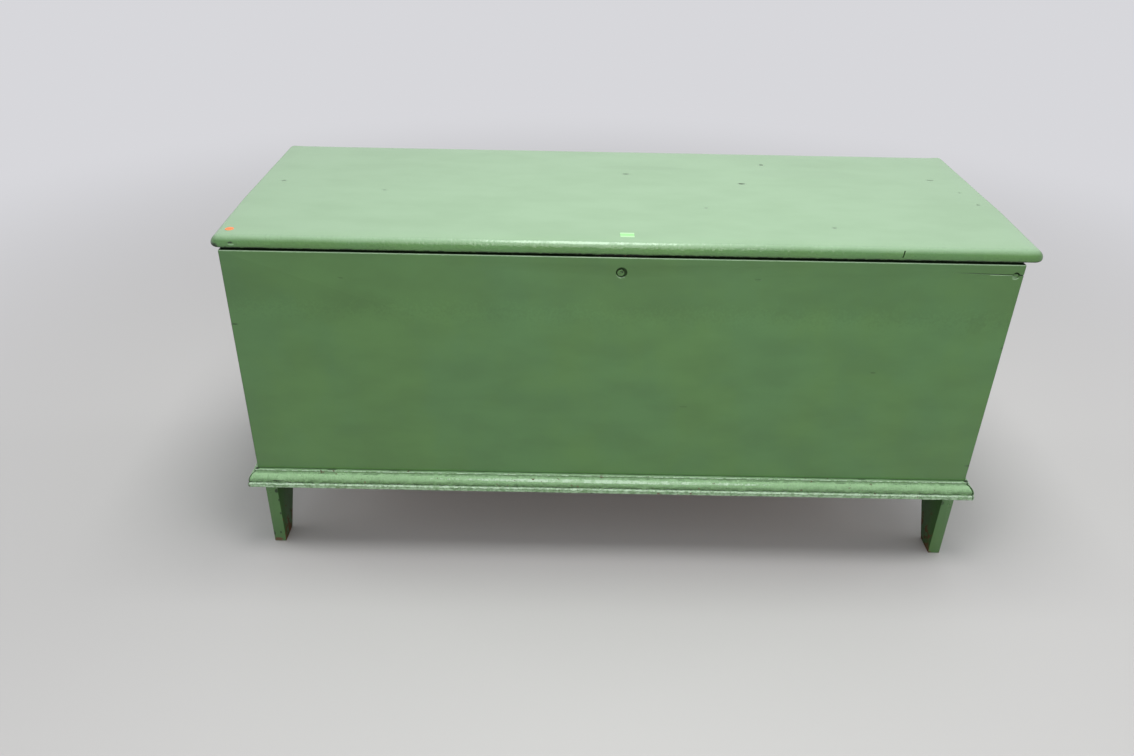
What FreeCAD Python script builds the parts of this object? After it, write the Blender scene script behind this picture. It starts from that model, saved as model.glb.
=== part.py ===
import FreeCAD, Part
import math
import os

from FreeCAD import Vector

# A blanket chest of the six-board kind, in millimetres. The two end boards run down to the
# floor as feet, the front and back boards are nailed over their edges, the bottom board is
# let into them, a mitred moulding goes round the base, and the lid swings on two butt hinges
# and shuts on a half-mortise lock.
#
# The model is built in the case's own frame: X = 0 in the middle of the case, Y = 0 on the
# outer face of the front board with the back at +Y, and Z = 0 on the floor. The pieces are
# moved together at the end, so that the origin is in the middle of the chest's outline.

# ---- Driving dimensions: the case ------------------------------------------------------
case_length = 1260.0          # over the two end boards
case_depth = 480.0            # over the front and back boards
case_height = 599.0           # floor to the top edges of the boards
front_board_t = 19.0
back_board_t = 19.0
end_board_t = 21.5
bottom_board_t = 18.0
bottom_board_z = 160.0        # underside of the bottom board
skirt_z = 152.0               # lower edges of the front and back boards
dado_depth = 7.0              # how deep the bottom board is let into each end board
arris_radius = 1.5            # planed corners of the boards

# ---- Driving dimensions: the feet sawn out of the end boards ---------------------------
foot_width = 43.0             # front to back, at the floor
foot_slope = 30.0             # degrees that the inner edge leans from upright
arch_height = 140.0           # floor to the top of the saw cut between the feet
arch_corner_radius = 45.0

# ---- Driving dimensions: the base moulding ---------------------------------------------
moulding_top_z = 183.0
moulding_height = 33.0
moulding_reach = 16.0         # how far it stands out from the boards
ledge_width = 4.5             # flat on top, next to the boards
ledge_drop = 3.0
cove_radius = 2.0             # small hollow under the ledge
swell_reach = 14.5            # the large round below the hollow
swell_drop = 19.5
swell_bulge = 3.2             # height of the round above its chord
quirk_depth = 1.2             # narrow groove between the round and the bead
quirk_width = 1.0
bead_drop = 3.4               # rounded top of the lower bead
toe_radius = 1.6              # worn lower corner

# ---- Driving dimensions: the lid -------------------------------------------------------
lid_t = 19.5
lid_end_overhang = 20.5       # past each end of the case, if the lid sat in the middle
lid_shift = 7.0               # how far the lid sits towards the right end
lid_front_overhang = 2.0
lid_back_overhang = 17.0
lid_corner_radius = 18.0      # seen from above
lid_round_radius = 13.0       # the roll along the upper edge
lid_under_radius = 4.0

# ---- Driving dimensions: the nails -----------------------------------------------------
nail_length = 50.0
nail_head = (7.0, 3.5, 1.4)   # along the grain, across it, thickness
nail_shank = (3.6, 2.6)       # under the head
nail_tip = (1.6, 2.6)
nail_inset = 12.0             # from the end of the board
top_nail_drop = 18.5          # below the top edge
low_nail_rise = 32.0          # above the base moulding
nails_per_corner = 4
nails_in_bottom = 6
bottom_nail_span = 1040.0
brad_size = 1.5               # square brads in the moulding
brad_length = 25.0
brad_sink = 0.8
brads_in_front = 7
brads_in_end = 3
brad_end_distance = 60.0      # from the end of a moulding to its first brad

# ---- Driving dimensions: the screws ----------------------------------------------------
screw_head_radius = 3.2
screw_shank_radius = 1.7
screw_length = 14.0
screw_tip_radius = 0.3
screw_flats = 10              # the round of each small screw is made of this many flats

# ---- Driving dimensions: the butt hinges -----------------------------------------------
hinge_length = 63.5
hinge_leaf_width = 19.0       # pin axis to the free edge of a leaf
leaf_t = 1.8
leaf_gap = 0.1                # between the two leaves of a shut hinge
knuckle_count = 3
pin_radius = 2.0
hinge_spacing = 800.0         # middle of one hinge to the middle of the other
hinge_screws = 3
screw_stagger = 2.0           # the middle screw is nearer to the pin

# ---- Driving dimensions: the lock ------------------------------------------------------
keyhole_radius = 8.8          # bored through the front board
keyhole_drop = 25.8           # its centre below the top edge
lock_case_width = 64.4
lock_case_height = 39.0
lock_case_depth = 10.0
lock_wall = 1.2
lock_plate_width = 84.0
lock_plate_drop = 46.0        # height of the upright plate inside the chest
lock_plate_t = 1.6
selvage_t = 2.0               # the part of the plate on top of the board
selvage_depth = 15.6
lock_screw_inset = 5.0
barrel_radius = 5.6
barrel_recess = 2.0           # face of the barrel behind the face of the board
barrel_offset = (-1.2, -1.2)  # barrel centre from the plug's axis, across and up
plug_radius = 2.9
plug_recess = 0.5
key_slot = (1.2, 4.6, 3.5)    # width, length and depth
key_slot_angle = -32.0        # from level, in degrees
cam_radius = 6.0              # plug axis to the drive pin
cam_swing = 90.0              # degrees
cam_t = 2.2
cam_hub_radius = 4.0
cam_arm_width = 5.0
drive_pin_radius = 1.5
bolt_t = 3.0
bolt_finger_height = 5.0
bolt_arm_width = 4.0
post_radius = 1.5             # the round neck that the bolt slides on
post_block_width = 5.2        # the square block at each end of a post
post_room = 3.0               # from a post's block to the drive pin
staple_spacing = 26.0
staple_t = 2.5
staple_width = 7.0
staple_bar = 1.6              # thickness of the metal round the staple's window
staple_window_height = 6.0
staple_drop = 14.5            # below the selvage
staple_plate_width = 72.0
staple_plate_inset = 1.0      # from the front and back edges of the selvage
staple_screw_inset = 7.0
spring_t = 0.6
spring_width = 5.0
spring_nose = 3.0             # length that bears on the bolt
spring_slant = 5.0            # from the nose to the foot, along the chest

# ---- Clearances ------------------------------------------------------------------------
pin_clearance = 0.05          # hinge pin and lock plug in their holes
knuckle_gap = 0.25            # end play between neighbouring knuckles
knuckle_room = 1.0            # from the knuckles to the back board
gain_clearance = 0.5          # round the knuckles, in the lid and beside the leaves
slide_clearance = 0.1         # lock bolt on its posts
cam_clearance = 0.3           # drive pin in the bolt, plug and cam in the lock case
staple_clearance = 0.8        # staples in the selvage
window_clearance = 0.5        # bolt fingers in the staples
finger_gap = 1.0              # from a finger to its staple with the bolt drawn back
spring_clearance = 0.05
pocket_clearance = 0.3        # lock case in the front board
cut_past = 1.0                # how far a cutting shape runs past the face that it opens

# ---- Places that follow from the sizes -------------------------------------------------
half_length = case_length / 2
end_inner_x = half_length - end_board_t
back_inner_y = case_depth - back_board_t
case_middle_y = (front_board_t + back_inner_y) / 2
moulding_bottom_z = moulding_top_z - moulding_height
bottom_board_mid_z = bottom_board_z + bottom_board_t / 2

lid_gap = 2 * leaf_t + leaf_gap
lid_bottom_z = case_height + lid_gap
lid_top_z = lid_bottom_z + lid_t
lid_x = (lid_shift - half_length - lid_end_overhang, lid_shift + half_length + lid_end_overhang)
lid_y = (-lid_front_overhang, case_depth + lid_back_overhang)

knuckle_radius = pin_radius + leaf_t
hinge_pin_y = case_depth + knuckle_radius + knuckle_room
hinge_pin_z = case_height + leaf_t + leaf_gap / 2
leaf_free_y = hinge_pin_y - hinge_leaf_width
leaf_root_y = hinge_pin_y - knuckle_radius - gain_clearance

key_z = case_height - keyhole_drop
lock_front_y = front_board_t - lock_case_depth
lock_inner_y = lock_front_y + lock_wall
lock_bottom_z = case_height - lock_case_height
plate_y = (front_board_t, front_board_t + lock_plate_t)
selvage_mid_y = plate_y[1] - selvage_depth / 2
cam_y = (lock_inner_y + cam_clearance, lock_inner_y + cam_clearance + cam_t)
bolt_y = (cam_y[1] + window_clearance, cam_y[1] + window_clearance + bolt_t)
bolt_mid_y = sum(bolt_y) / 2
half_swing = math.radians(cam_swing / 2)
bolt_throw = 2 * cam_radius * math.sin(half_swing)
selvage_top_z = case_height + selvage_t
staple_plate_t = lid_gap - selvage_t
staple_low_z = selvage_top_z - staple_drop
window_z = (staple_low_z + staple_bar, staple_low_z + staple_bar + staple_window_height)


# ---- Small shapes that the pieces are made from ----------------------------------------
def block(x, y, z):
    """A box given by its low and high limits along each axis."""
    size = [max(limits) - min(limits) for limits in (x, y, z)]
    return Part.makeBox(*size, Vector(min(x), min(y), min(z)))


def rod(radius, start, end):
    """A round bar from one point to another."""
    start, end = Vector(*start), Vector(*end)
    return Part.makeCylinder(radius, start.distanceToPoint(end), start, end - start)


def middle_and_half(middle, half):
    """The two limits that lie the same distance either side of a middle."""
    return (middle - half, middle + half)


def evenly(first, last, count):
    """Places from first to last, with equal steps."""
    return [first + (last - first) * step / (count - 1) for step in range(count)]


def edges_where(solid, wanted):
    """The edges whose middle passes a test."""
    return [edge for edge in solid.Edges if wanted(edge.CenterOfMass)]


def near(value, target):
    return abs(value - target) < 0.01


def flat_sided(outlines):
    """A solid with flat sides between outlines that have the same number of corners."""
    faces = []
    for first, second in zip(outlines, outlines[1:]):
        for index in range(len(first)):
            corners = [first[index - 1], first[index], second[index], second[index - 1]]
            faces.append(Part.Face(Part.makePolygon(corners + corners[:1])))
    for end in (outlines[0], outlines[-1]):
        faces.append(Part.Face(Part.makePolygon(end + end[:1])))
    solid = Part.Solid(Part.Shell(faces))
    if solid.Volume < 0:
        solid.reverse()
    return solid


def turned(shape, direction):
    """A shape made along +Z from the origin, turned to point another way."""
    copy = shape.copy()
    copy.Placement = FreeCAD.Placement(Vector(), FreeCAD.Rotation(Vector(0, 0, 1), direction))
    return copy


def moved(shape, x, y, z):
    copy = shape.copy()
    copy.translate(Vector(x, y, z))
    return copy


def mirrored(shape):
    """The same piece for the other end of the chest."""
    return shape.mirror(Vector(), Vector(1, 0, 0))


# ---- Nails, brads and screws -----------------------------------------------------------
def cut_nail(x, face_y, z, inward):
    """A wedge-shaped cut nail with its head flush with a face; inward is +1 or -1 along Y."""
    head_x, head_z, head_t = nail_head
    stages = ((head_x, head_z, 0), (head_x, head_z, head_t), (*nail_shank, head_t),
              (*nail_tip, nail_length))
    corners = ((-0.5, -0.5), (0.5, -0.5), (0.5, 0.5), (-0.5, 0.5))
    return flat_sided([[Vector(x + i * width, face_y + inward * depth, z + k * height)
                        for i, k in corners] for width, height, depth in stages])


def board_nails(face_y, inward):
    """The nails that hold the front or the back board to the end boards and the bottom."""
    rows = evenly(moulding_top_z + low_nail_rise, case_height - top_nail_drop, nails_per_corner)
    corner_x = half_length - nail_inset
    nails = [cut_nail(side * corner_x, face_y, z, inward) for side in (-1, 1) for z in rows]
    for x in evenly(-bottom_nail_span / 2, bottom_nail_span / 2, nails_in_bottom):
        nails.append(cut_nail(x, face_y, bottom_board_mid_z, inward))
    return Part.Compound(nails)


def brad_places():
    """Foot of each brad on the boards, with the way it points."""
    front_x = half_length - brad_end_distance
    places = [(Vector(x, 0, 0), Vector(0, 1, 0))
              for x in evenly(-front_x, front_x, brads_in_front)]
    for side in (-1, 1):
        for y in evenly(brad_end_distance, case_depth - brad_end_distance, brads_in_end):
            places.append((Vector(side * half_length, y, 0), Vector(-side, 0, 0)))
    return places


def brads(outward_length, total_length):
    """Square brads driven through the groove of the moulding, from outside inwards."""
    z = moulding_top_z - swell_drop - quirk_width / 2
    group = []
    for foot, inward in brad_places():
        start = foot - inward * outward_length
        bar = Part.makeBox(brad_size, brad_size, total_length,
                           Vector(-brad_size / 2, -brad_size / 2, 0))
        group.append(moved(turned(bar, inward), start.x, start.y, z))
    return Part.Compound(group)


def screw(x, y, z, direction):
    """A countersunk wood screw; the point given is the middle of its flat head."""
    turns = [2 * math.pi * index / screw_flats for index in range(screw_flats)]
    stages = ((screw_head_radius, 0), (screw_shank_radius, screw_head_radius - screw_shank_radius),
              (screw_tip_radius, screw_length))
    body = flat_sided([[Vector(radius * math.cos(turn), radius * math.sin(turn), depth)
                        for turn in turns] for radius, depth in stages])
    return moved(turned(body, Vector(*direction)), x, y, z)


def screws(places, direction):
    """One screw at each place, all pointing the same way."""
    return Part.Compound([screw(*place, direction) for place in places])


# ---- Base moulding ---------------------------------------------------------------------
def moulding_face():
    """The moulding's section on the front of the chest, reaching out along -Y."""
    def at(reach, drop):
        return Vector(0, -reach, moulding_top_z - drop)

    cove_end = (ledge_width + cove_radius, ledge_drop + cove_radius)
    cove_slack = cove_radius * (1 - math.sqrt(0.5))
    chord = Vector(0, cove_end[0] - swell_reach, cove_end[1] - swell_drop)
    rise = Vector(0, chord.z, -chord.y).normalize() * swell_bulge
    swell_mid = (at(*cove_end) + at(swell_reach, swell_drop)) * 0.5 + rise
    quirk_reach = swell_reach - quirk_depth
    bead_top = swell_drop + quirk_width
    bead_width = moulding_reach - quirk_reach
    toe = moulding_height - toe_radius
    diagonal = math.sqrt(0.5)

    outline = [
        Part.LineSegment(at(0, 0), at(ledge_width, 0)),
        Part.LineSegment(at(ledge_width, 0), at(ledge_width, ledge_drop)),
        Part.Arc(at(ledge_width, ledge_drop),
                 at(ledge_width + cove_slack, ledge_drop + cove_radius * diagonal),
                 at(*cove_end)),
        Part.Arc(at(*cove_end), swell_mid, at(swell_reach, swell_drop)),
        Part.LineSegment(at(swell_reach, swell_drop), at(quirk_reach, swell_drop)),
        Part.LineSegment(at(quirk_reach, swell_drop), at(quirk_reach, bead_top)),
        Part.Arc(at(quirk_reach, bead_top),
                 at(quirk_reach + bead_width * diagonal, bead_top + bead_drop * (1 - diagonal)),
                 at(moulding_reach, bead_top + bead_drop)),
        Part.LineSegment(at(moulding_reach, bead_top + bead_drop), at(moulding_reach, toe)),
        Part.Arc(at(moulding_reach, toe),
                 at(moulding_reach - toe_radius * (1 - diagonal), toe + toe_radius * diagonal),
                 at(moulding_reach - toe_radius, moulding_height)),
        Part.LineSegment(at(moulding_reach - toe_radius, moulding_height), at(0, moulding_height)),
        Part.LineSegment(at(0, moulding_height), at(0, 0)),
    ]
    return Part.Face(Part.Wire([piece.toShape() for piece in outline]))


def moulding_between(corners, run, quarter_turns, offset):
    """A length of moulding, cut to a plan shape so that its ends meet in mitres."""
    length = moulding_face().extrude(Vector(run, 0, 0))
    length.translate(Vector(-run / 2, 0, 0))
    length.rotate(Vector(), Vector(0, 0, 1), 90 * quarter_turns)
    length.translate(offset)
    points = [Vector(x, y, moulding_bottom_z - cut_past) for x, y in corners]
    plan = Part.Face(Part.makePolygon(points + points[:1]))
    return length.common(plan.extrude(Vector(0, 0, moulding_height + 2 * cut_past)))


def front_moulding():
    reach = moulding_reach
    corners = [(-half_length, 0), (-half_length - reach, -reach),
               (half_length + reach, -reach), (half_length, 0)]
    return moulding_between(corners, case_length + 4 * reach, 0, Vector())


def left_moulding():
    reach = moulding_reach
    corners = [(-half_length, 0), (-half_length - reach, -reach),
               (-half_length - reach, case_depth), (-half_length, case_depth)]
    return moulding_between(corners, 2 * case_depth + 4 * reach, -1,
                            Vector(-half_length, case_depth / 2, 0))


# ---- Boards of the case ----------------------------------------------------------------
def front_board():
    board = block((-half_length, half_length), (0, front_board_t), (skirt_z, case_height))
    soft = edges_where(board, lambda m: near(m.y, 0) and not near(m.z, skirt_z))
    board = board.makeFillet(arris_radius, soft)
    pocket_x = middle_and_half(0, lock_case_width / 2 + pocket_clearance)
    pocket = block(pocket_x, (lock_front_y - pocket_clearance, front_board_t + cut_past),
                   (lock_bottom_z - pocket_clearance, case_height + cut_past))
    keyhole = rod(keyhole_radius, (0, -cut_past, key_z), (0, front_board_t, key_z))
    return board.cut([pocket, keyhole])


def back_board():
    board = block((-half_length, half_length), (back_inner_y, case_depth), (skirt_z, case_height))
    soft = edges_where(board, lambda m: near(m.y, case_depth) and near(abs(m.x), half_length))
    return board.makeFillet(arris_radius, soft)


def foot_arch():
    """What is sawn out between the feet of an end board: leaning sides and a round-cornered top."""
    lean = math.tan(math.radians(foot_slope))
    floor_half = (back_inner_y - front_board_t) / 2 - foot_width

    def corner(side, z):
        return Vector(-half_length - cut_past, case_middle_y + side * (floor_half - lean * z), z)

    corners = [corner(-1, -cut_past), corner(-1, arch_height),
               corner(1, arch_height), corner(1, -cut_past)]
    through = Vector(end_board_t + 2 * cut_past, 0, 0)
    arch = Part.Face(Part.makePolygon(corners + corners[:1])).extrude(through)
    top_corners = edges_where(arch, lambda m: near(m.z, arch_height)
                              and not near(m.y, case_middle_y))
    return arch.makeFillet(arch_corner_radius, top_corners)


def left_end_board():
    board = block((-half_length, -end_inner_x), (front_board_t, back_inner_y), (0, case_height))
    dado = block((-end_inner_x - dado_depth, -end_inner_x + cut_past),
                 (front_board_t - cut_past, back_inner_y + cut_past),
                 (bottom_board_z, bottom_board_z + bottom_board_t))
    return board.cut([foot_arch(), dado])


def bottom_board():
    half = end_inner_x + dado_depth
    return block((-half, half), (front_board_t, back_inner_y),
                 (bottom_board_z, bottom_board_z + bottom_board_t))


# ---- Lid -------------------------------------------------------------------------------
def lid_board():
    board = block(lid_x, lid_y, (lid_bottom_z, lid_top_z))
    middle_z = (lid_bottom_z + lid_top_z) / 2
    board = board.makeFillet(lid_corner_radius, edges_where(board, lambda m: near(m.z, middle_z)))
    board = board.makeFillet(lid_round_radius, edges_where(board, lambda m: near(m.z, lid_top_z)))
    board = board.makeFillet(lid_under_radius, edges_where(board, lambda m: near(m.z, lid_bottom_z)))
    gains = []
    for x in hinge_middles():
        half = hinge_length / 2 + gain_clearance
        gains.append(rod(knuckle_radius + gain_clearance, (x - half, hinge_pin_y, hinge_pin_z),
                         (x + half, hinge_pin_y, hinge_pin_z)))
    return board.cut(gains)


# ---- Butt hinges -----------------------------------------------------------------------
def hinge_middles():
    return (-hinge_spacing / 2, hinge_spacing / 2)


def hinge_screw_places(middle_x, z):
    """Three screws in a row along a leaf, the middle one nearer to the pin."""
    row_y = (leaf_free_y + leaf_root_y) / 2
    step = hinge_length / hinge_screws
    places = []
    for index in range(hinge_screws):
        x = middle_x + (index - (hinge_screws - 1) / 2) * step
        side = 1 if index % 2 else -1
        places.append((x, row_y + side * screw_stagger / 2, z))
    return places


def hinge_leaf(middle_x, leaf_z, first_knuckle, bore_radius):
    """A leaf with every second knuckle of the hinge, counted from its left end."""
    left = middle_x - hinge_length / 2
    leaf = block((left, left + hinge_length), (leaf_free_y, leaf_root_y), leaf_z)
    step = hinge_length / knuckle_count
    for index in range(first_knuckle, knuckle_count, 2):
        x = (left + index * step + (knuckle_gap / 2 if index else 0),
             left + (index + 1) * step - (knuckle_gap / 2 if index < knuckle_count - 1 else 0))
        web = block(x, (leaf_root_y, hinge_pin_y), leaf_z)
        barrel = rod(knuckle_radius, (x[0], hinge_pin_y, hinge_pin_z), (x[1], hinge_pin_y, hinge_pin_z))
        leaf = leaf.fuse([web, barrel])
    hole = rod(bore_radius, (left - cut_past, hinge_pin_y, hinge_pin_z),
               (left + hinge_length + cut_past, hinge_pin_y, hinge_pin_z))
    return leaf.cut(hole).removeSplitter()


def hinge_pin(middle_x):
    """A plain pin, driven in flush with the ends of the outer knuckles."""
    half = hinge_length / 2
    return rod(pin_radius, (middle_x - half, hinge_pin_y, hinge_pin_z),
               (middle_x + half, hinge_pin_y, hinge_pin_z))


# ---- Lock ------------------------------------------------------------------------------
def lock_plate():
    """The folded plate: upright on the inside of the front board, level on its top edge."""
    half = lock_plate_width / 2
    upright = block((-half, half), plate_y, (case_height - lock_plate_drop, selvage_top_z))
    level = block((-half, half), (plate_y[1] - selvage_depth, plate_y[1]), (case_height, selvage_top_z))
    plate = upright.fuse(level).removeSplitter()
    bend = edges_where(plate, lambda m: near(m.y, plate_y[1]) and near(m.z, selvage_top_z))
    plate = plate.makeFillet(lock_plate_t, bend)
    slot_y = middle_and_half(bolt_mid_y, staple_width / 2 + staple_clearance)
    for x in staple_middles():
        slot_x = middle_and_half(x, staple_t / 2 + staple_clearance)
        plate = plate.cut(block(slot_x, slot_y, (case_height - cut_past, selvage_top_z + cut_past)))
    return plate


def lock_screw_places():
    x = lock_plate_width / 2 - lock_screw_inset
    low = case_height - lock_plate_drop + lock_screw_inset
    high = case_height - 2 * lock_screw_inset
    return [(side * x, plate_y[1], z) for side in (-1, 1) for z in (low, high)]


def lock_case():
    """A pressed box behind the keyhole, open at the back and the top, where the plate shuts it."""
    half = lock_case_width / 2
    outer = block((-half, half), (lock_front_y, front_board_t), (lock_bottom_z, case_height))
    inner = block((lock_wall - half, half - lock_wall), (lock_inner_y, front_board_t + cut_past),
                  (lock_bottom_z + lock_wall, case_height + cut_past))
    across, up = barrel_offset
    hole = rod(barrel_radius, (across, lock_front_y - cut_past, key_z + up),
               (across, lock_inner_y + cut_past, key_z + up))
    return outer.cut([inner, hole])


def lock_barrel():
    """The round nose seen in the keyhole; the plug sits off its centre."""
    across, up = barrel_offset
    barrel = rod(barrel_radius, (across, barrel_recess, key_z + up), (across, lock_inner_y, key_z + up))
    bore = rod(plug_radius + pin_clearance, (0, 0, key_z), (0, lock_inner_y + cut_past, key_z))
    return barrel.cut(bore)


def drive_pin_place():
    """Middle of the drive pin from the plug's axis, with the bolt drawn back."""
    return (-cam_radius * math.sin(half_swing), cam_radius * math.cos(half_swing))


def lock_plug():
    """The plug that the key turns, with the cam and drive pin on its inner end."""
    face_y = barrel_recess + plug_recess
    body = rod(plug_radius, (0, face_y, key_z), (0, cam_y[0], key_z))
    width, length, depth = key_slot
    slot = block(middle_and_half(0, length / 2), (face_y - cut_past, face_y + depth),
                 middle_and_half(0, width / 2))
    slot.rotate(Vector(), Vector(0, 1, 0), -key_slot_angle)
    slot.translate(Vector(0, 0, key_z))
    hub = rod(cam_hub_radius, (0, cam_y[0], key_z), (0, cam_y[1], key_z))
    pin_x, pin_up = drive_pin_place()
    arm = block((0, cam_radius), cam_y, middle_and_half(0, cam_arm_width / 2))
    arm.rotate(Vector(), Vector(0, 1, 0), -math.degrees(math.atan2(pin_up, pin_x)))
    arm.translate(Vector(0, 0, key_z))
    boss = rod(cam_arm_width / 2, (pin_x, cam_y[0], key_z + pin_up), (pin_x, cam_y[1], key_z + pin_up))
    pin = rod(drive_pin_radius, (pin_x, cam_y[0], key_z + pin_up),
              (pin_x, bolt_y[1] + slide_clearance, key_z + pin_up))
    return body.cut(slot).fuse([hub, arm, boss, pin]).removeSplitter()


def staple_middles():
    return (-staple_spacing / 2, staple_spacing / 2)


def post_places():
    """The two guide posts, between the drive pin's path and the ends of the bolt."""
    z = key_z + cam_radius + slide_clearance
    reach = cam_radius + drive_pin_radius + post_room + post_block_width / 2
    return [(-reach, z), (reach, z)]


def lock_bolt():
    """A plate that slides on two posts, with two fingers that run through the lid's staples."""
    body_low = key_z + drive_pin_radius
    pin_top = key_z + cam_radius + drive_pin_radius + cam_clearance
    body_top = pin_top + drive_pin_radius + post_radius
    finger_top = window_z[0] + window_clearance + bolt_finger_height
    slot_half = post_radius + slide_clearance
    arm_x = []
    fingers = []
    for staple_x in staple_middles():
        tip = staple_x - staple_t / 2 - finger_gap
        root = tip - bolt_throw
        arm_x.append(root - bolt_arm_width)
        fingers.append(block((root - bolt_arm_width, root), bolt_y, (body_low, finger_top)))
        fingers.append(block((root, tip), bolt_y, (window_z[0] + window_clearance, finger_top)))
    right_end = post_places()[1][0] + slot_half + bolt_arm_width
    bolt = block((min(arm_x), right_end), bolt_y, (body_low, body_top)).fuse(fingers).removeSplitter()
    cuts = []
    through = (bolt_y[0] - cut_past, bolt_y[1] + cut_past)
    for x, z in post_places():
        cuts.append(block((x - bolt_throw, x), through, middle_and_half(z, slot_half)))
        for end_x in (x - bolt_throw, x):
            cuts.append(rod(slot_half, (end_x, through[0], z), (end_x, through[1], z)))
    pin_x = drive_pin_place()[0]
    notch_x = middle_and_half(pin_x, drive_pin_radius + cam_clearance)
    cuts.append(block(notch_x, through, (body_low - cut_past, pin_top)))
    return bolt.cut(cuts)


def guide_posts():
    """Posts from the plate to the front of the lock case; the bolt slides on their round necks."""
    neck = (bolt_y[0] - slide_clearance, bolt_y[1] + slide_clearance)
    posts = []
    for x, z in post_places():
        square = (middle_and_half(x, post_block_width / 2), middle_and_half(z, post_block_width / 2))
        ends = [block(square[0], y, square[1])
                for y in ((lock_inner_y, neck[0]), (neck[1], front_board_t))]
        posts.append(rod(post_radius, (x, neck[0], z), (x, neck[1], z)).fuse(ends))
    return Part.Compound(posts)


def lock_spring():
    """A bent leaf on the floor of the lock case that bears on the bolt's lower edge."""
    floor_z = lock_bottom_z + lock_wall
    top_z = key_z + drive_pin_radius - spring_clearance
    nose_x = post_places()[1][0]
    foot_x = nose_x + spring_slant
    end_x = lock_case_width / 2 - lock_wall - cam_clearance
    under_nose = top_z - spring_t
    path = [(end_x, floor_z), (foot_x, floor_z), (nose_x - spring_t, under_nose), (nose_x, top_z),
            (nose_x + spring_nose, top_z), (nose_x + spring_nose, under_nose), (nose_x, under_nose),
            (foot_x + spring_t, floor_z + spring_t), (end_x, floor_z + spring_t)]
    points = [Vector(x, bolt_mid_y - spring_width / 2, z) for x, z in path]
    return Part.Face(Part.makePolygon(points + points[:1])).extrude(Vector(0, spring_width, 0))


def staple_plate():
    """The plate under the lid with two staples for the lock's bolt."""
    plate_half = staple_plate_width / 2
    edge_y = middle_and_half(selvage_mid_y, selvage_depth / 2 - staple_plate_inset)
    plate = block((-plate_half, plate_half), edge_y, (selvage_top_z, lid_bottom_z))
    for x in staple_middles():
        staple_y = middle_and_half(bolt_mid_y, staple_width / 2)
        staple = block(middle_and_half(x, staple_t / 2), staple_y, (staple_low_z, selvage_top_z))
        low_edges = edges_where(staple, lambda m: near(m.z, staple_low_z)
                                and not near(m.y, bolt_mid_y))
        staple = staple.makeFillet(staple_bar, low_edges)
        window_y = middle_and_half(bolt_mid_y, staple_width / 2 - staple_bar)
        window = block(middle_and_half(x, staple_t), window_y, window_z)
        plate = plate.fuse(staple.cut(window))
    return plate.removeSplitter()


def staple_screw_places():
    x = staple_plate_width / 2 - staple_screw_inset
    return [(side * x, selvage_mid_y, selvage_top_z) for side in (-1, 1)]


# ---- Putting the chest together --------------------------------------------------------
up, down = (0, 0, 1), (0, 0, -1)
front_nails = board_nails(0, 1)
back_nails = board_nails(case_depth, -1)
brad_start = moulding_reach - quirk_depth - brad_sink
moulding_brads = brads(brad_start, brad_length)
brad_holes = brads(moulding_reach + cut_past, moulding_reach + cut_past - brad_start + brad_length)

case_leaf_z = (case_height, case_height + leaf_t)
lid_leaf_z = (lid_bottom_z - leaf_t, lid_bottom_z)
case_screw_places = []
lid_screw_places = []
for hinge_x in hinge_middles():
    case_screw_places += hinge_screw_places(hinge_x, case_leaf_z[1])
    lid_screw_places += hinge_screw_places(hinge_x, lid_leaf_z[0])
hinge_case_screws = screws(case_screw_places, down)
hinge_lid_screws = screws(lid_screw_places, up)
lock_screws = screws(lock_screw_places(), (0, -1, 0))
staple_screws = screws(staple_screw_places(), up)

pieces = {
    "front_board": front_board().cut([front_nails, brad_holes, lock_screws]),
    "back_board": back_board().cut([back_nails, hinge_case_screws]),
    "end_board_left": left_end_board().cut([front_nails, back_nails, brad_holes]),
    "end_board_right": mirrored(left_end_board()).cut([front_nails, back_nails, brad_holes]),
    "bottom_board": bottom_board().cut([front_nails, back_nails]),
    "base_moulding_front": front_moulding().cut(brad_holes),
    "base_moulding_left": left_moulding().cut(brad_holes),
    "base_moulding_right": mirrored(left_moulding()).cut(brad_holes),
    "front_nails": front_nails,
    "back_nails": back_nails,
    "moulding_brads": moulding_brads,
    "lid_board": lid_board().cut([hinge_lid_screws, staple_screws]),
    "hinge_case_screws": hinge_case_screws,
    "hinge_lid_screws": hinge_lid_screws,
    "lock_plate": lock_plate().cut(lock_screws),
    "lock_case": lock_case(),
    "lock_barrel": lock_barrel(),
    "lock_plug": lock_plug(),
    "lock_bolt": lock_bolt(),
    "lock_guide_posts": guide_posts(),
    "lock_spring": lock_spring(),
    "lock_screws": lock_screws,
    "staple_plate": staple_plate().cut(staple_screws),
    "staple_screws": staple_screws,
}
for side, hinge_x in zip(("left", "right"), hinge_middles()):
    pieces["hinge_case_leaf_" + side] = hinge_leaf(hinge_x, case_leaf_z, 0, pin_radius).cut(
        hinge_case_screws)
    pieces["hinge_lid_leaf_" + side] = hinge_leaf(hinge_x, lid_leaf_z, 1,
                                                  pin_radius + pin_clearance).cut(hinge_lid_screws)
    pieces["hinge_pin_" + side] = hinge_pin(hinge_x)

# The origin is on the floor, in the middle of the outline seen from above.
outline_x = (min(lid_x[0], -half_length - moulding_reach), max(lid_x[1], half_length + moulding_reach))
outline_y = (min(lid_y[0], -moulding_reach), max(lid_y[1], hinge_pin_y + knuckle_radius))
origin = Vector(sum(outline_x) / 2, sum(outline_y) / 2, 0)

os.makedirs("parts", exist_ok=True)
for node, piece in pieces.items():
    moved(piece, -origin.x, -origin.y, 0).exportStep("parts/" + node + ".step")
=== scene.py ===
import math

import bmesh
import bpy
from mathutils import Matrix, Vector


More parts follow.
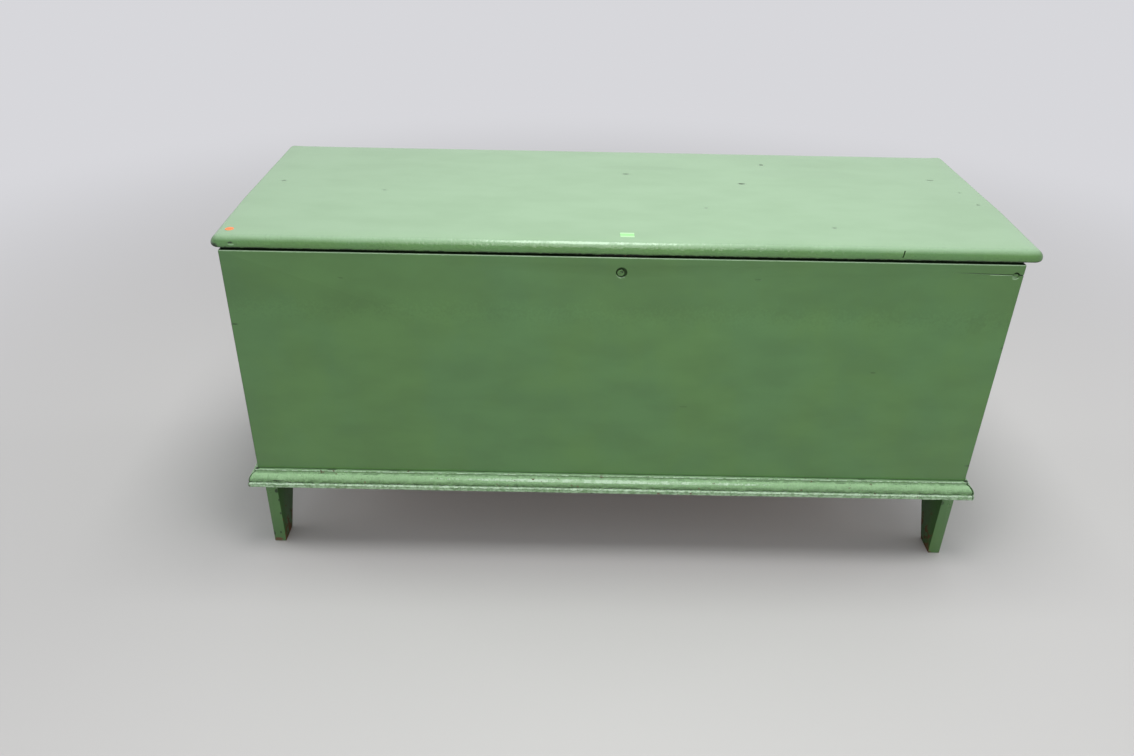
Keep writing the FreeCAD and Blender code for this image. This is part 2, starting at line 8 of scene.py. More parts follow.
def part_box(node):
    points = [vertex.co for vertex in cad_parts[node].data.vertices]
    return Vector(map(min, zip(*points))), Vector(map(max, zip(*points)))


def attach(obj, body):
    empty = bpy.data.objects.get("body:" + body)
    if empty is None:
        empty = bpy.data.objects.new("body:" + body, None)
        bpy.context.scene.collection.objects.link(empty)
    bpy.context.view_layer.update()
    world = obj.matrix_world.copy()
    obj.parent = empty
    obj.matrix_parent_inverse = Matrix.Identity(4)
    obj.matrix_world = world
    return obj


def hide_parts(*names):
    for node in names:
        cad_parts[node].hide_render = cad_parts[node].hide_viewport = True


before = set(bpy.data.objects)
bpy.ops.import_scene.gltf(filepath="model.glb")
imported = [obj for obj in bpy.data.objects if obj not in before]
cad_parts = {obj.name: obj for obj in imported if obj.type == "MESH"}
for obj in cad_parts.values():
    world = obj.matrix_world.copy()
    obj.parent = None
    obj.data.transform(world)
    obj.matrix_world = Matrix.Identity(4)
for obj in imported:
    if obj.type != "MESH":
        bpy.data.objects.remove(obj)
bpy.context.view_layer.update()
mm = 0.001


# ---- End boards ----
# Each end is one wide pine board with its grain upright. It runs down to the floor, and an
# arch sawn out of its lower edge leaves two feet. The outside is painted by brush, the inside
# is bare, and the feet are chipped and scuffed where they meet the floor.
foot_width = 43 * mm
foot_lean = math.radians(30)
arch_height = 140 * mm
arch_corner = 26 * mm  # from the corner of the arch to where its round begins
dado_depth = 7 * mm
arris = 1.2 * mm
over = 5 * mm  # how far a saw cut runs past the board
square = 0.9  # a direction with this much along an axis runs along it

leaf_green = (0.083, 0.184, 0.054)
cool_green = (0.079, 0.180, 0.060)
# paler green where paint faces up: chalky dust, and painted light from above
chalk_and_toplight_green = (0.279, 0.426, 0.262)
# pale greens for pale marks, which are painted highlights on edges, rims and rounds
highlight_green = (0.380, 0.560, 0.345)
strong_highlight_green = (0.54, 0.73, 0.52)
old_wood = (0.235, 0.130, 0.062)
late_wood = (0.105, 0.050, 0.022)
bare_brown = (0.120, 0.066, 0.036)
# the colour of dark marks: dirt, and painted shade in seams, hollows and under edges
grime_and_shade = (0.007, 0.017, 0.005)
dull = 0.35  # how much rougher dark marks (dirt and painted shade) and bare wood are than the paint
fleck_reach = 150 * mm  # a longer mark than this breaks into flecks on lumpy paint
whole = 9000  # in mm, the size of a mark that runs right through a piece


def deselect():
    bpy.ops.object.select_all(action="DESELECT")


def only(piece):
    """Leaves one piece selected and active, and nothing else."""
    deselect()
    piece.select_set(True)
    bpy.context.view_layer.objects.active = piece


def settle(name):
    """Names the new piece and moves its place, turn and size into its mesh."""
    piece = bpy.context.object
    piece.name = piece.data.name = name
    bpy.ops.object.transform_apply(location=True, rotation=True, scale=True)
    return piece


def block(name, low, high):
    """A square-cut block between two corners."""
    low, high = Vector(low), Vector(high)
    deselect()
    bpy.ops.mesh.primitive_cube_add(size=1, location=(low + high) / 2, scale=high - low)
    return settle(name)


def edit(piece):
    only(piece)
    bpy.ops.object.mode_set(mode="EDIT")


def done():
    bpy.ops.object.mode_set(mode="OBJECT")


def choose(piece, kind, wanted):
    """In edit mode, selects the edges whose middle and direction pass a test, or the faces
    whose middle and normal do."""
    bpy.ops.mesh.select_mode(type=kind)
    bpy.ops.mesh.select_all(action="DESELECT")
    shape = bmesh.from_edit_mesh(piece.data)
    if kind == "EDGE":
        for edge in shape.edges:
            start, end = [corner.co for corner in edge.verts]
            edge.select_set(wanted((start + end) / 2, (end - start).normalized()))
    else:
        for face in shape.faces:
            face.select_set(wanted(face.calc_center_median(), face.normal))
    shape.select_flush_mode()
    bmesh.update_edit_mesh(piece.data)


def bevel(piece, wanted, width, segments, kind="EDGE"):
    """In edit mode, rounds the edges that pass a test, or those round the faces that do."""
    choose(piece, kind, wanted)
    bpy.ops.mesh.bevel(offset=width, segments=segments, affect="EDGES")


def change(piece, kind, **settings):
    """Gives a piece one modifier and applies it."""
    only(piece)
    added = piece.modifiers.new(kind.lower(), kind)
    for name, value in settings.items():
        setattr(added, name, value)
    bpy.ops.object.modifier_apply(modifier=added.name)


def cut(piece, cutter):
    """Takes one shape out of another, as a saw, a bit or a chisel would."""
    change(piece, "BOOLEAN", operation="DIFFERENCE", solver="EXACT", object=cutter)
    bpy.data.objects.remove(cutter)


def ease(piece, width, segments=2):
    """Rounds every sharp corner a little, as planing and years of handling do."""
    change(piece, "BEVEL", width=width, segments=segments, limit_method="ANGLE",
           angle_limit=math.radians(40), use_clamp_overlap=True)


def smooth(piece, angle=35):
    only(piece)
    bpy.ops.object.shade_smooth_by_angle(angle=math.radians(angle))


def cover(piece, *finishes):
    """Gives a piece its finishes. The first covers all of it, and each later one comes as a
    pair of material and test, and covers the faces whose middle and normal pass the test."""
    piece.data.materials.clear()
    piece.data.materials.append(finishes[0])
    for face in piece.data.polygons:
        face.material_index = 0
    for index, (finish, wanted) in enumerate(finishes[1:], 1):
        piece.data.materials.append(finish)
        for face in piece.data.polygons:
            if wanted(face.center, face.normal):
                face.material_index = index


def near(value, target, slack=0.5 * mm):
    return abs(value - target) < slack


def top_edge(z):
    """The test for the upper edge of a board that ends at the height z."""
    return lambda at, normal: normal.z > square and at.z > z - 1 * mm


def feed(tree, sockets, values):
    """Gives each socket its value, or links it to the output that feeds it."""
    for name, value in values.items():
        if isinstance(value, bpy.types.NodeSocket):
            tree.links.new(value, sockets[name])
        else:
            sockets[name].default_value = value


def put(tree, kind, inputs=None, **settings):
    """Adds a shader node, with its settings and inputs."""
    made = tree.nodes.new("ShaderNode" + kind)
    for name, value in settings.items():
        setattr(made, name, value)
    feed(tree, made.inputs, inputs or {})
    return made


def use(tree, group, inputs):
    return put(tree, "Group", inputs, node_tree=group).outputs


def maths(tree, operation, first, second=0.0):
    return put(tree, "Math", {0: first, 1: second}, operation=operation).outputs[0]


def plus(tree, base, part, share):
    """The base, and the part times its share on top."""
    return maths(tree, "ADD", base, maths(tree, "MULTIPLY", part, share))


def times(tree, vector, factors):
    return put(tree, "VectorMath", {0: vector, 1: factors}, operation="MULTIPLY").outputs[0]


def one_axis(tree, vector, axis):
    return put(tree, "SeparateXYZ", {0: vector}).outputs[axis]


def length(tree, vector):
    return put(tree, "VectorMath", {0: vector}, operation="LENGTH").outputs["Value"]


def shaded(tree, colour, share):
    return put(tree, "VectorMath", {0: colour, 3: share}, operation="SCALE").outputs[0]


def noise(tree, vector, scale, detail=2.0, roughness=0.5):
    """Soft noise. A scale of three numbers draws it out along the axes."""
    if isinstance(scale, tuple):
        vector, scale = times(tree, vector, scale), 1.0
    return put(tree, "TexNoise", {"Vector": vector, "Scale": scale, "Detail": detail,
                                  "Roughness": roughness}).outputs[0]


def between(tree, value, start, end, low=0.0, high=1.0):
    """Goes smoothly from low to high while the value goes from start to end."""
    return put(tree, "MapRange", {"Value": value, "From Min": start, "From Max": end,
                                  "To Min": low, "To Max": high},
               interpolation_type="SMOOTHSTEP").outputs[0]


def tint(tree, share, first, second):
    """The first colour, giving way to the second as the share goes to 1."""
    def full(colour):
        return colour if isinstance(colour, bpy.types.NodeSocket) else (*colour, 1)
    return put(tree, "Mix", {0: share, 6: full(first), 7: full(second)},
               data_type="RGBA").outputs[2]


def effect(name, inputs, outputs):
    """Starts a node group with named sockets, and returns its tree, its inputs and its end."""
    tree = bpy.data.node_groups.new(name, "ShaderNodeTree")
    for way, sockets in (("INPUT", inputs), ("OUTPUT", outputs)):
        for socket, kind in sockets.items():
            tree.interface.new_socket(socket, in_out=way, socket_type="NodeSocket" + kind)
    start = tree.nodes.new("NodeGroupInput")
    end = tree.nodes.new("NodeGroupOutput")
    return tree, start.outputs, end.inputs


def material(name):
    """A new material, with its tree, its Principled shader and the place on the object."""
    made = bpy.data.materials.new(name)
    made.use_nodes = True
    tree = made.node_tree
    shader = tree.nodes["Principled BSDF"]
    place = tree.nodes.new("ShaderNodeTexCoord").outputs
    return made, tree, shader, place


def surface(tree, shader, height, depth, inputs):
    """Gives a shader its inputs, with bumps made from a height and a depth."""
    bump = put(tree, "Bump", {"Height": height, "Strength": 1.0, "Distance": depth})
    feed(tree, shader.inputs, {**inputs, "Normal": bump.outputs[0]})


def brushed_paint():
    """Enamel laid on by brush along X: fine ridges, dimples, thick and thin places, cloudy
    colour, and a paler skin where the input for chalky dust and top light says so: chalky
    dust, and painted light from above."""
    tree, given, end = effect(
        "Brushed paint", {"Vector": "Vector", "Chalk and Top Light Green": "Color", "Chalk and Top Light": "Float"},
        {"Color": "Color", "Roughness": "Float", "Height": "Float"})
    skin = given["Vector"]
    ridges = noise(tree, skin, (3, 210, 210), 3.0, 0.6)
    strokes = noise(tree, skin, (5, 48, 48), 4.0, 0.6)
    dimples = noise(tree, skin, 150)
    peel = noise(tree, skin, 420, 1.0)
    swells = noise(tree, skin, 38)
    clouds = noise(tree, skin, (7.0, 7.0, 4.9), 4.0, 0.6)
    patches = noise(tree, skin, (8.5, 17, 17), 3.0)
    green = tint(tree, between(tree, clouds, 0.36, 0.64), leaf_green, cool_green)
    thick = maths(tree, "ADD", between(tree, strokes, 0.2, 0.8, 0.99, 1.01),
                  between(tree, patches, 0.3, 0.7, -0.06, 0.06))
    chalk_and_toplight = maths(tree, "MULTIPLY", given["Chalk and Top Light"], between(tree, patches, 0.25, 0.7, 0.90, 1.0))
    height = maths(tree, "MULTIPLY", ridges, 0.045)
    for part, share in ((strokes, 0.04), (dimples, 0.25), (peel, 0.06), (swells, 0.7)):
        height = plus(tree, height, part, share)
    feed(tree, end, {
        "Color": tint(tree, chalk_and_toplight, shaded(tree, green, thick), given["Chalk and Top Light Green"]),
        "Roughness": plus(tree, between(tree, ridges, 0.2, 0.8, 0.205, 0.22), given["Chalk and Top Light"], 0.05),
        "Height": height})
    return tree


def pine_grain():
    """Flat-sawn softwood with its grain along X: rings drawn out into long bands, fine pores
    and a few darker stains."""
    tree, given, end = effect("Pine grain", {"Vector": "Vector"},
                              {"Color": "Color", "Roughness": "Float", "Height": "Float"})
    wood = given["Vector"]
    rings = put(tree, "TexWave", {"Vector": times(tree, wood, (0.09, 1, 1)), "Scale": 26.0,
                                  "Distortion": 5.0, "Detail": 2.0, "Detail Scale": 0.55,
                                  "Detail Roughness": 0.5},
                wave_type="RINGS", rings_direction="X", wave_profile="SAW").outputs["Fac"]
    pores = noise(tree, wood, (9, 620, 620), 2.0, 0.6)
    stains = noise(tree, wood, (1.5, 7, 7), 4.0, 0.6)
    dark = maths(tree, "MULTIPLY", between(tree, rings, 0.35, 1.0), 0.75)
    shade = maths(tree, "MULTIPLY", between(tree, pores, 0.3, 0.7, 0.82, 1.08),
                  between(tree, stains, 0.3, 0.7, 0.72, 1.10))
    feed(tree, end, {"Color": shaded(tree, tint(tree, dark, old_wood, late_wood), shade),
                     "Roughness": between(tree, pores, 0.2, 0.8, 0.62, 0.85),
                     "Height": plus(tree, pores, rings, -0.5)})
    return tree


def flaking():
    """Where paint has broken away: nothing at an Amount of 0, ragged spots as it rises."""
    tree, given, end = effect("Flaking", {"Vector": "Vector", "Amount": "Float"},
                              {"Mask": "Float"})
    large = noise(tree, given["Vector"], 75, 3.0, 0.6)
    fine = noise(tree, given["Vector"], 420)
    ragged = plus(tree, maths(tree, "MULTIPLY", large, 0.8), fine, 0.2)
    past = maths(tree, "SUBTRACT", maths(tree, "ADD", ragged, given["Amount"]), 1.0)
    feed(tree, end, {"Mask": between(tree, past, 0.0, 0.03)})
    return tree


def mark():
    """A small soft-edged spot, with its own place and its size along each axis."""
    tree, given, end = effect("Mark", {"Vector": "Vector", "Centre": "Vector", "Size": "Vector"},
                              {"Mask": "Float"})
    away = put(tree, "VectorMath", {0: given["Vector"], 1: given["Centre"]}, operation="SUBTRACT")
    away = put(tree, "VectorMath", {0: away.outputs[0], 1: given["Size"]}, operation="DIVIDE")
    ragged = maths(tree, "SUBTRACT", noise(tree, given["Vector"], 260), 0.5)
    reach = plus(tree, length(tree, away.outputs[0]), ragged, 0.9)
    feed(tree, end, {"Mask": between(tree, reach, 0.7, 1.1, 1.0, 0.0)})
    return tree


paint_effect, pine_effect = brushed_paint(), pine_grain()
flaking_effect, mark_effect = flaking(), mark()


def along_grain(tree, place, upright):
    """Coordinates with the grain along X, for a board that is laid level or stood upright."""
    if not upright:
        return place
    return put(tree, "Mapping", {"Vector": place, "Rotation": (0, math.radians(90), 0)}).outputs[0]


def green_enamel(name, upright=False, marks=(), worn_below=0.0, flake=0.0, depth=0.22 * mm,
                 lumpy=0.0, chalk_and_toplight_from=0.5, chalk_and_toplight=chalk_and_toplight_green, shine=0.5, highlight=highlight_green):
    """The chest's paint. Marks are (centre, size, strength, dent): dark with dirt or painted
    shade, or, where the strength is below 0, pale as a painted highlight; a dent below 0 is a
    lump. Below the height worn_below the paint flakes more and more, down to the wood. Off the
    flat it is lumpy, and where it faces up by more than chalk_and_toplight_from it is paler,
    for chalky dust and painted light from above. A long mark on a lumpy piece is broken into
    flecks."""
    made, tree, shader, place = material(name)
    upward = one_axis(tree, place["Normal"], "Z")
    paint = use(tree, paint_effect, {"Vector": along_grain(tree, place["Object"], upright),
                                     "Chalk and Top Light Green": (*chalk_and_toplight, 1),
                                     "Chalk and Top Light": between(tree, upward, chalk_and_toplight_from, 1.0)})
    colour, gloss, height = paint["Color"], paint["Roughness"], paint["Height"]
    if lumpy:
        height = plus(tree, height, noise(tree, place["Object"], 190, 3.0),
                      between(tree, upward, 0.995, 0.95, 0.0, lumpy))
        flecks = between(tree, noise(tree, place["Object"], 105, 3.0, 0.65), 0.40, 0.56, 0.35)
    for centre, size, strength, dent in marks:
        spot = use(tree, mark_effect,
                   {"Vector": place["Object"], "Centre": centre, "Size": size})["Mask"]
        if lumpy and size[0] > fleck_reach:
            spot = maths(tree, "MULTIPLY", spot, flecks)
        colour = tint(tree, maths(tree, "MULTIPLY", spot, abs(strength)), colour,
                      grime_and_shade if strength > 0 else highlight)
        if strength > 0.2:
            gloss = plus(tree, gloss, spot, dull * strength)
        if dent:
            height = plus(tree, height, spot, -dent)
    amount = flake
    if worn_below:
        up = one_axis(tree, place["Object"], "Z")
        amount = maths(tree, "ADD", between(tree, up, 0.0, worn_below, 0.17, 0.0), flake)
    gone = use(tree, flaking_effect, {"Vector": place["Object"], "Amount": amount})["Mask"]
    surface(tree, shader, plus(tree, height, gone, -1.2), depth, {
        "Base Color": tint(tree, gone, colour, bare_brown),
        "Roughness": plus(tree, gloss, gone, dull), "Specular IOR Level": shine})
    return made


def marks_from(anchor, *rows):
    """Marks whose places are measured from an anchor. Places and sizes are given in mm."""
    return [(anchor + Vector(place) * mm, Vector(size) * mm, strength, dent)
            for place, size, strength, dent in rows]


def all_over(strength):
    """A mark that covers a whole piece."""
    return marks_from(Vector(), ((0, 0, 0), (whole, whole, whole), strength, 0))


def bare_pine(name, upright=False):
    """Unpainted softwood, browned with age."""
    made, tree, shader, place = material(name)
    wood = use(tree, pine_effect, {"Vector": along_grain(tree, place["Object"], upright)})
    surface(tree, shader, wood["Height"], 0.15 * mm,
            {"Base Color": wood["Color"], "Roughness": wood["Roughness"]})
    return made


board_paint = green_enamel("board_paint")
end_paint = green_enamel(
    "end_paint", upright=True, worn_below=16 * mm, flake=0.33, marks=marks_from(
        Vector(),
        ((-617, -221, 118), (3, 3, 6), 0.85, 2),
        ((-615, -221, 97), (1.6, 3, 2.5), 0.85, 2),
        ((-616, -221, 66), (2.2, 3, 3), 0.85, 2),
        ((-634, -221, 19), (2, 3, 4), 0.8, 2),
        ((-622, -221, 21), (2, 3, 2.5), 0.8, 2),
        ((604, -221, 118), (3, 3, 5), 0.6, 2),
        # the feet darker towards the floor: dirt, and painted shade under the moulding
        ((0, 0, 40), (whole, whole, 110), 0.22, 0)))
foot_inside = green_enamel("foot_inside", upright=True, worn_below=70 * mm, flake=0.37,
                           shine=0.03, marks=all_over(0.5))
level_pine = bare_pine("level_pine")
upright_pine = bare_pine("upright_pine", upright=True)
# near-black paint for seams, cracks and top edges under the lid: some dirt, and painted shade where
# light does not reach
seam_dirt_and_shade = green_enamel("seam_dirt_and_shade", shine=0.03, marks=all_over(0.95))
# darker paint for the lid's underside: dirt, and painted shade under the lid
dirty_shaded_underside = green_enamel("dirty_shaded_underside", shine=0.3, marks=all_over(0.4))


def end_board(node, side):
    """One end board; side is -1 for the left and 1 for the right."""
    low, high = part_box(node)
    piece = block(node + "_board", low, high)
    middle_y = (low.y + high.y) / 2
    half_floor = (high.y - low.y) / 2 - foot_width + over * math.tan(foot_lean)
    half_top = half_floor - (arch_height + over) * math.tan(foot_lean)

    arch = block("arch", (low.x - over, middle_y - half_floor, -over),
                 (high.x + over, middle_y + half_floor, arch_height))
    edit(arch)
    choose(arch, "FACE", lambda at, normal: normal.z > square)
    bpy.ops.transform.resize(value=(1, half_top / half_floor, 1))
    bevel(arch, lambda at, way: near(at.z, arch_height) and abs(way.x) > square, arch_corner, 10)
    done()
    cut(piece, arch)

    inner_x = low.x if side > 0 else high.x
    shelf_low, shelf_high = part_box("bottom_board")
    cut(piece, block("dado", (inner_x - dado_depth, low.y - over, shelf_low.z),
                     (inner_x + dado_depth, high.y + over, shelf_high.z)))
    ease(piece, arris)
    smooth(piece)
    # The top edge under the lid is darkened with dirt and painted shade.
    cover(piece, end_paint,
          (foot_inside, lambda at, normal: normal.x * side < -0.5),
          (upright_pine, lambda at, normal: normal.x * side < -0.5 and at.z > shelf_low.z),
          (seam_dirt_and_shade, top_edge(high.z)))
    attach(piece, "case")
    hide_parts(node)


end_board("end_board_left", -1)
end_board("end_board_right", 1)


# ---- Bottom board ----
# A bare pine board let into grooves in the end boards. The front and back boards are nailed
# to its edges.
bottom_low, bottom_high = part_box("bottom_board")
bottom = block("bottom", bottom_low, bottom_high)
ease(bottom, arris)
smooth(bottom)
cover(bottom, level_pine)
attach(bottom, "case")
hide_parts("bottom_board")


# ---- Front board ----
# One wide pine board nailed over the ends. It has a round keyhole, a pocket for the lock
# behind it, softened upper corners, and a crack that runs in from its right end through the
# topmost nail.
board_corner = 2.0 * mm  # the round of the two upper corners
rim_corner = 1.5 * mm  # the round all along the rim of the outer face
through = 10 * mm  # how far a drill runs past the wood
hole_round = 0.9 * mm  # the round that paint gives to the edge of a hole
keyhole_radius = 8.8 * mm
keyhole_drop = 25.8 * mm
pocket_room = 0.3 * mm  # free space round the lock's case
crack_length = 112 * mm
crack_drop = 15.2 * mm  # at its blind end
crack_fall = 2.6 * mm  # how far it runs down on its way to the board's end
crack_width = 0.3 * mm  # at its blind end
crack_widening = 6  # times as wide where it leaves the board
crack_depth = 7 * mm
crack_lip = 0.7 * mm
nail_inset = 12 * mm
top_nail_drop = 18.5 * mm
nail_dish_radius = 5.4 * mm
nail_dish_depth = 2.1 * mm

front_low, front_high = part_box("front_board")
case_middle_x = (front_low.x + front_high.x) / 2
barrel_low, barrel_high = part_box("lock_barrel")
pocket_low, pocket_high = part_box("lock_case")
moulding_top_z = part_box("base_moulding_front")[1].z
key_x = case_middle_x
key_z = front_high.z - keyhole_drop
keyhole = Vector((key_x, front_low.y, key_z))
crack_x = front_high.x - crack_length
crack_z = front_high.z - crack_drop
dish = Vector((front_high.x - nail_inset, front_low.y, front_high.z - top_nail_drop))


def round_bar(name, radius, start, end, sides=48):
    """A round bar from one point to another."""
    start, end = Vector(start), Vector(end)
    turn = (end - start).to_track_quat("Z", "Y").to_euler()
    deselect()
    bpy.ops.mesh.primitive_cylinder_add(vertices=sides, radius=radius,
                                        depth=(end - start).length,
                                        location=(start + end) / 2, rotation=turn)
    return settle(name)


def bar_along_y(name, radius, x, z, start_y, end_y, sides=48):
    return round_bar(name, radius, (x, start_y, z), (x, end_y, z), sides)


def wide_board(name, low, high, outside):
    """A long board on edge, with softened corners; outside is the sign of its outer face."""
    piece = block(name, low, high)
    edit(piece)
    outer_y = low.y if outside < 0 else high.y
    bevel(piece, lambda at, way: abs(way.y) > square and near(at.z, high.z), board_corner, 4)
    bevel(piece, lambda at, way: abs(way.y) < 0.1 and near(at.y, outer_y), rim_corner, 3)
    done()
    return piece


front = wide_board("front", front_low, front_high, -1)
cut(front, bar_along_y("keyhole", keyhole_radius, key_x, key_z,
                       front_low.y - through, front_high.y + through))
cut(front, block("pocket", pocket_low - Vector((1, 1, 1)) * pocket_room,
                 (pocket_high.x + pocket_room, front_high.y + through, front_high.z + through)))
edit(front)
bevel(front, lambda at, way: near(at.y, front_low.y)
      and (at - keyhole).length < keyhole_radius + 1 * mm, hole_round, 3)
done()

crack = block("crack", (crack_x, front_low.y - 1 * mm, crack_z),
              (front_high.x + 2 * mm, front_low.y + crack_depth, crack_z + crack_width))
edit(crack)
choose(crack, "FACE", lambda at, normal: normal.x > square)
bpy.ops.transform.resize(value=(1, 1, crack_widening))
bpy.ops.transform.translate(value=(0, 0, -crack_fall))
done()
cut(front, crack)


def over_crack(point):
    """How far a point of the front board lies above the crack's middle line."""
    along = (point.x - front_high.x + crack_length) / crack_length
    return point.z - crack_z + crack_fall * along


edit(front)
bevel(front, lambda at, way: abs(way.x) > square and near(at.y, front_low.y)
      and at.x > crack_x and -2 * mm < over_crack(at) < 0, crack_lip, 2)
done()
cut(front, bar_along_y("dish", nail_dish_radius, dish.x, dish.z,
                       dish.y - 2 * mm, dish.y + nail_dish_depth, 32))
edit(front)
bevel(front, lambda at, way: near(at.y, front_low.y)
      and near((at - dish).length, nail_dish_radius, 0.2 * mm), hole_round, 3)
done()
smooth(front)

face = Vector((0, front_low.y, 0))
upper_edge = Vector((0, front_low.y, front_high.z))
left_corner = Vector((front_low.x, front_low.y, 0))
right_corner = Vector((front_high.x, front_low.y, 0))
crack_line = Vector((dish.x, front_low.y, crack_z - crack_fall * 0.7))
front_paint = green_enamel("front_paint", marks=(
    # painted shade: the face darker along its top, under the lid
    marks_from(upper_edge, ((0, 0, 0), (whole, whole, 110), 0.1, 0))
    + marks_from(face,
        ((570, 0, 493.6), (17, 8, 19), 0.06, 0),
        ((-450, 0, 555.2), (4, 3, 1.6), 0.1, 3),
        ((209, 0, 565.3), (5, 3, 1.5), 0.1, 3),
        ((420, 0, 401), (4, 3, 1.8), 0.2, 2.5),
        ((110, 0, 327.4), (6, 3, 2), 0.12, 2))
    # painted highlight: a pale line along the top arris
    + marks_from(upper_edge, ((0, 0.6, -0.8), (whole, 2.1, 0.9), -0.85, 0))
    # painted shade: dark lines down the left and right arrises
    + marks_from(left_corner, ((0, 1, 380), (1.5, 4, whole), 0.5, 0))
    + marks_from(right_corner, ((0, 1, 380), (1.2, 4, whole), 0.4, 0))
    # painted shade: a dark line where the moulding meets the board, with a lump
    + marks_from(face + Vector((0, 0, moulding_top_z)), ((0, 0, 0.6), (whole, 3, 1.3), 0.55, -1))
    # painted highlight: a pale crescent on the lower rim of the keyhole
    + marks_from(keyhole, ((-1.1, 0, -1.9), (8, 3, 8), -0.55, 0))
    # painted highlight on the lower rim of the nail dish, and painted shade in its upper part
    + marks_from(dish,
        ((-0.6, 0, -1.2), (5.6, 3, 5.6), -0.75, 0),
        ((0.2, 1, 0.6), (5.3, 4, 5.3), 0.55, 0))
    # painted highlight: a pale line along the crack's lower lip
    + marks_from(crack_line, ((-22, 0, -0.9), (26, 3, 0.7), -0.55, 0))
    + marks_from(face,
        ((-633, 0, 470), (8, 9, 0.9), 0.95, 3),
        ((622, 0, 452), (4, 5, 1.4), 0.55, 2),
        ((623, 0, 216), (8, 6, 2.2), 0.5, 2))))


def in_crack(at, normal):
    return (at.x > crack_x and normal.x < square and abs(over_crack(at)) < 3 * mm
            and front_low.y + 2 * mm < at.y < front_high.y - 5 * mm)


def inside_front(at, normal):
    """The board's inner face, and the walls of the lock's pocket."""
    return (normal.y > 0.5 or front_high.y - at.y < 9 * mm and abs(at.x - key_x) < 40 * mm
            and at.z < front_high.z - 1 * mm
            and math.hypot(at.x - key_x, at.z - key_z) > keyhole_radius + 2 * mm)


# The crack and the top edge under the lid are darkened with dirt and painted shade.
cover(front, front_paint, (seam_dirt_and_shade, in_crack), (seam_dirt_and_shade, top_edge(front_high.z)),
      (level_pine, inside_front))
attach(front, "case")
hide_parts("front_board")


# ---- Back board ----
# The same wide pine board at the back, painted outside and bare inside. The hinges are
# screwed to its upper edge.
back_low, back_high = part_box("back_board")
back = wide_board("back", back_low, back_high, 1)
smooth(back)
back_paint = green_enamel("back_paint", flake=0.30)
# The top edge under the lid is darkened with dirt and painted shade.
cover(back, back_paint, (seam_dirt_and_shade, top_edge(back_high.z)),
      (level_pine, lambda at, normal: normal.y < -0.5))
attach(back, "case")
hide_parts("back_board")


# ---- Nails ----
# Cut iron nails with flat rectangular heads, driven through the front and back boards into
# the ends and the bottom. Those of the front are punched in and painted over.
nail_length = 50 * mm
nail_head = (7.0 * mm, 3.5 * mm)
nail_head_t = 1.4 * mm
nail_head_round = 0.35 * mm
nail_head_edge = 0.45 * mm  # how far the head stands out round the shank
nail_shank_share = 0.62  # of the head's length
nail_point_share = 0.45  # of the shank's width, left at its point
punched_in = 1.6 * mm  # how deep the front nails lie in the board
low_nail_rise = 32 * mm
bottom_nail_span = 1040 * mm
rust = (0.085, 0.036, 0.020)
dark_iron = (0.030, 0.027, 0.025)


def rusty_iron(name, bright, share_of_rust):
    """Old iron: dull dark metal under patches of brown rust."""
    made, tree, shader, place = material(name)
    patches = noise(tree, place["Object"], 130, 4.0, 0.65)
    pits = noise(tree, place["Object"], 900)
    rusted = between(tree, patches, 0.62 - share_of_rust / 2, 0.72 - share_of_rust / 2)
    worn = tint(tree, between(tree, pits, 0.3, 0.7), bright, [c * 0.7 for c in bright])
    surface(tree, shader, maths(tree, "ADD", pits, rusted), 0.06 * mm, {
        "Base Color": tint(tree, rusted, worn, rust),
        "Metallic": between(tree, rusted, 0.0, 1.0, 0.85, 0.05),
        "Roughness": between(tree, rusted, 0.0, 1.0, 0.42, 0.88)})
    return made


def extrude(x, y, z):
    bpy.ops.mesh.extrude_region_move(TRANSFORM_OT_translate={"value": (x, y, z)})


def cut_nail(name):
    """A nail that points along +Y, with the face of its head at the origin."""
    head_x, head_z = nail_head
    nail = block(name, (-head_x / 2, 0, -head_z / 2), (head_x / 2, nail_head_t, head_z / 2))
    edit(nail)
    choose(nail, "FACE", lambda at, normal: normal.y > square)
    bpy.ops.mesh.inset(thickness=nail_head_edge)
    bpy.ops.transform.resize(value=(nail_shank_share, 1, 1))
    extrude(0, nail_length - nail_head_t, 0)
    bpy.ops.transform.resize(value=(nail_point_share, 1, 1))
    bevel(nail, lambda at, normal: normal.y < -square, nail_head_round, 2, "FACE")
    done()
    smooth(nail)
    return nail


def join(name, pieces):
    """Joins pieces into the first of them, and names it."""
    deselect()
    for piece in pieces:
        piece.select_set(True)
    bpy.context.view_layer.objects.active = pieces[0]
    bpy.ops.object.join()
    pieces[0].name = pieces[0].data.name = name
    return pieces[0]


def copies(name, pattern, moves):
    """One piece made of a copy of the pattern for each move."""
    made = []
    for one_move in moves:
        one = pattern.copy()
        one.data = pattern.data.copy()
        bpy.context.scene.collection.objects.link(one)
        one.data.transform(one_move)
        made.append(one)
    return join(name, made)


def move(place, turn=0.0, axis="Z"):
    """The move that turns a piece about the origin and then takes the origin to a place."""
    return Matrix.Translation(Vector(place)) @ Matrix.Rotation(turn, 4, axis)


def nail_places(y):
    """Four nails up each end, and six along the bottom board."""
    first, last = moulding_top_z + low_nail_rise, front_high.z - top_nail_drop
    places = []
    for x in (front_low.x + nail_inset, front_high.x - nail_inset):
        places += [(x, y, first + (last - first) * step / 3) for step in range(4)]
    shelf_z = (bottom_low.z + bottom_high.z) / 2
    for step in range(6):
        places.append((case_middle_x + (step / 5 - 0.5) * bottom_nail_span, y, shelf_z))
    return places


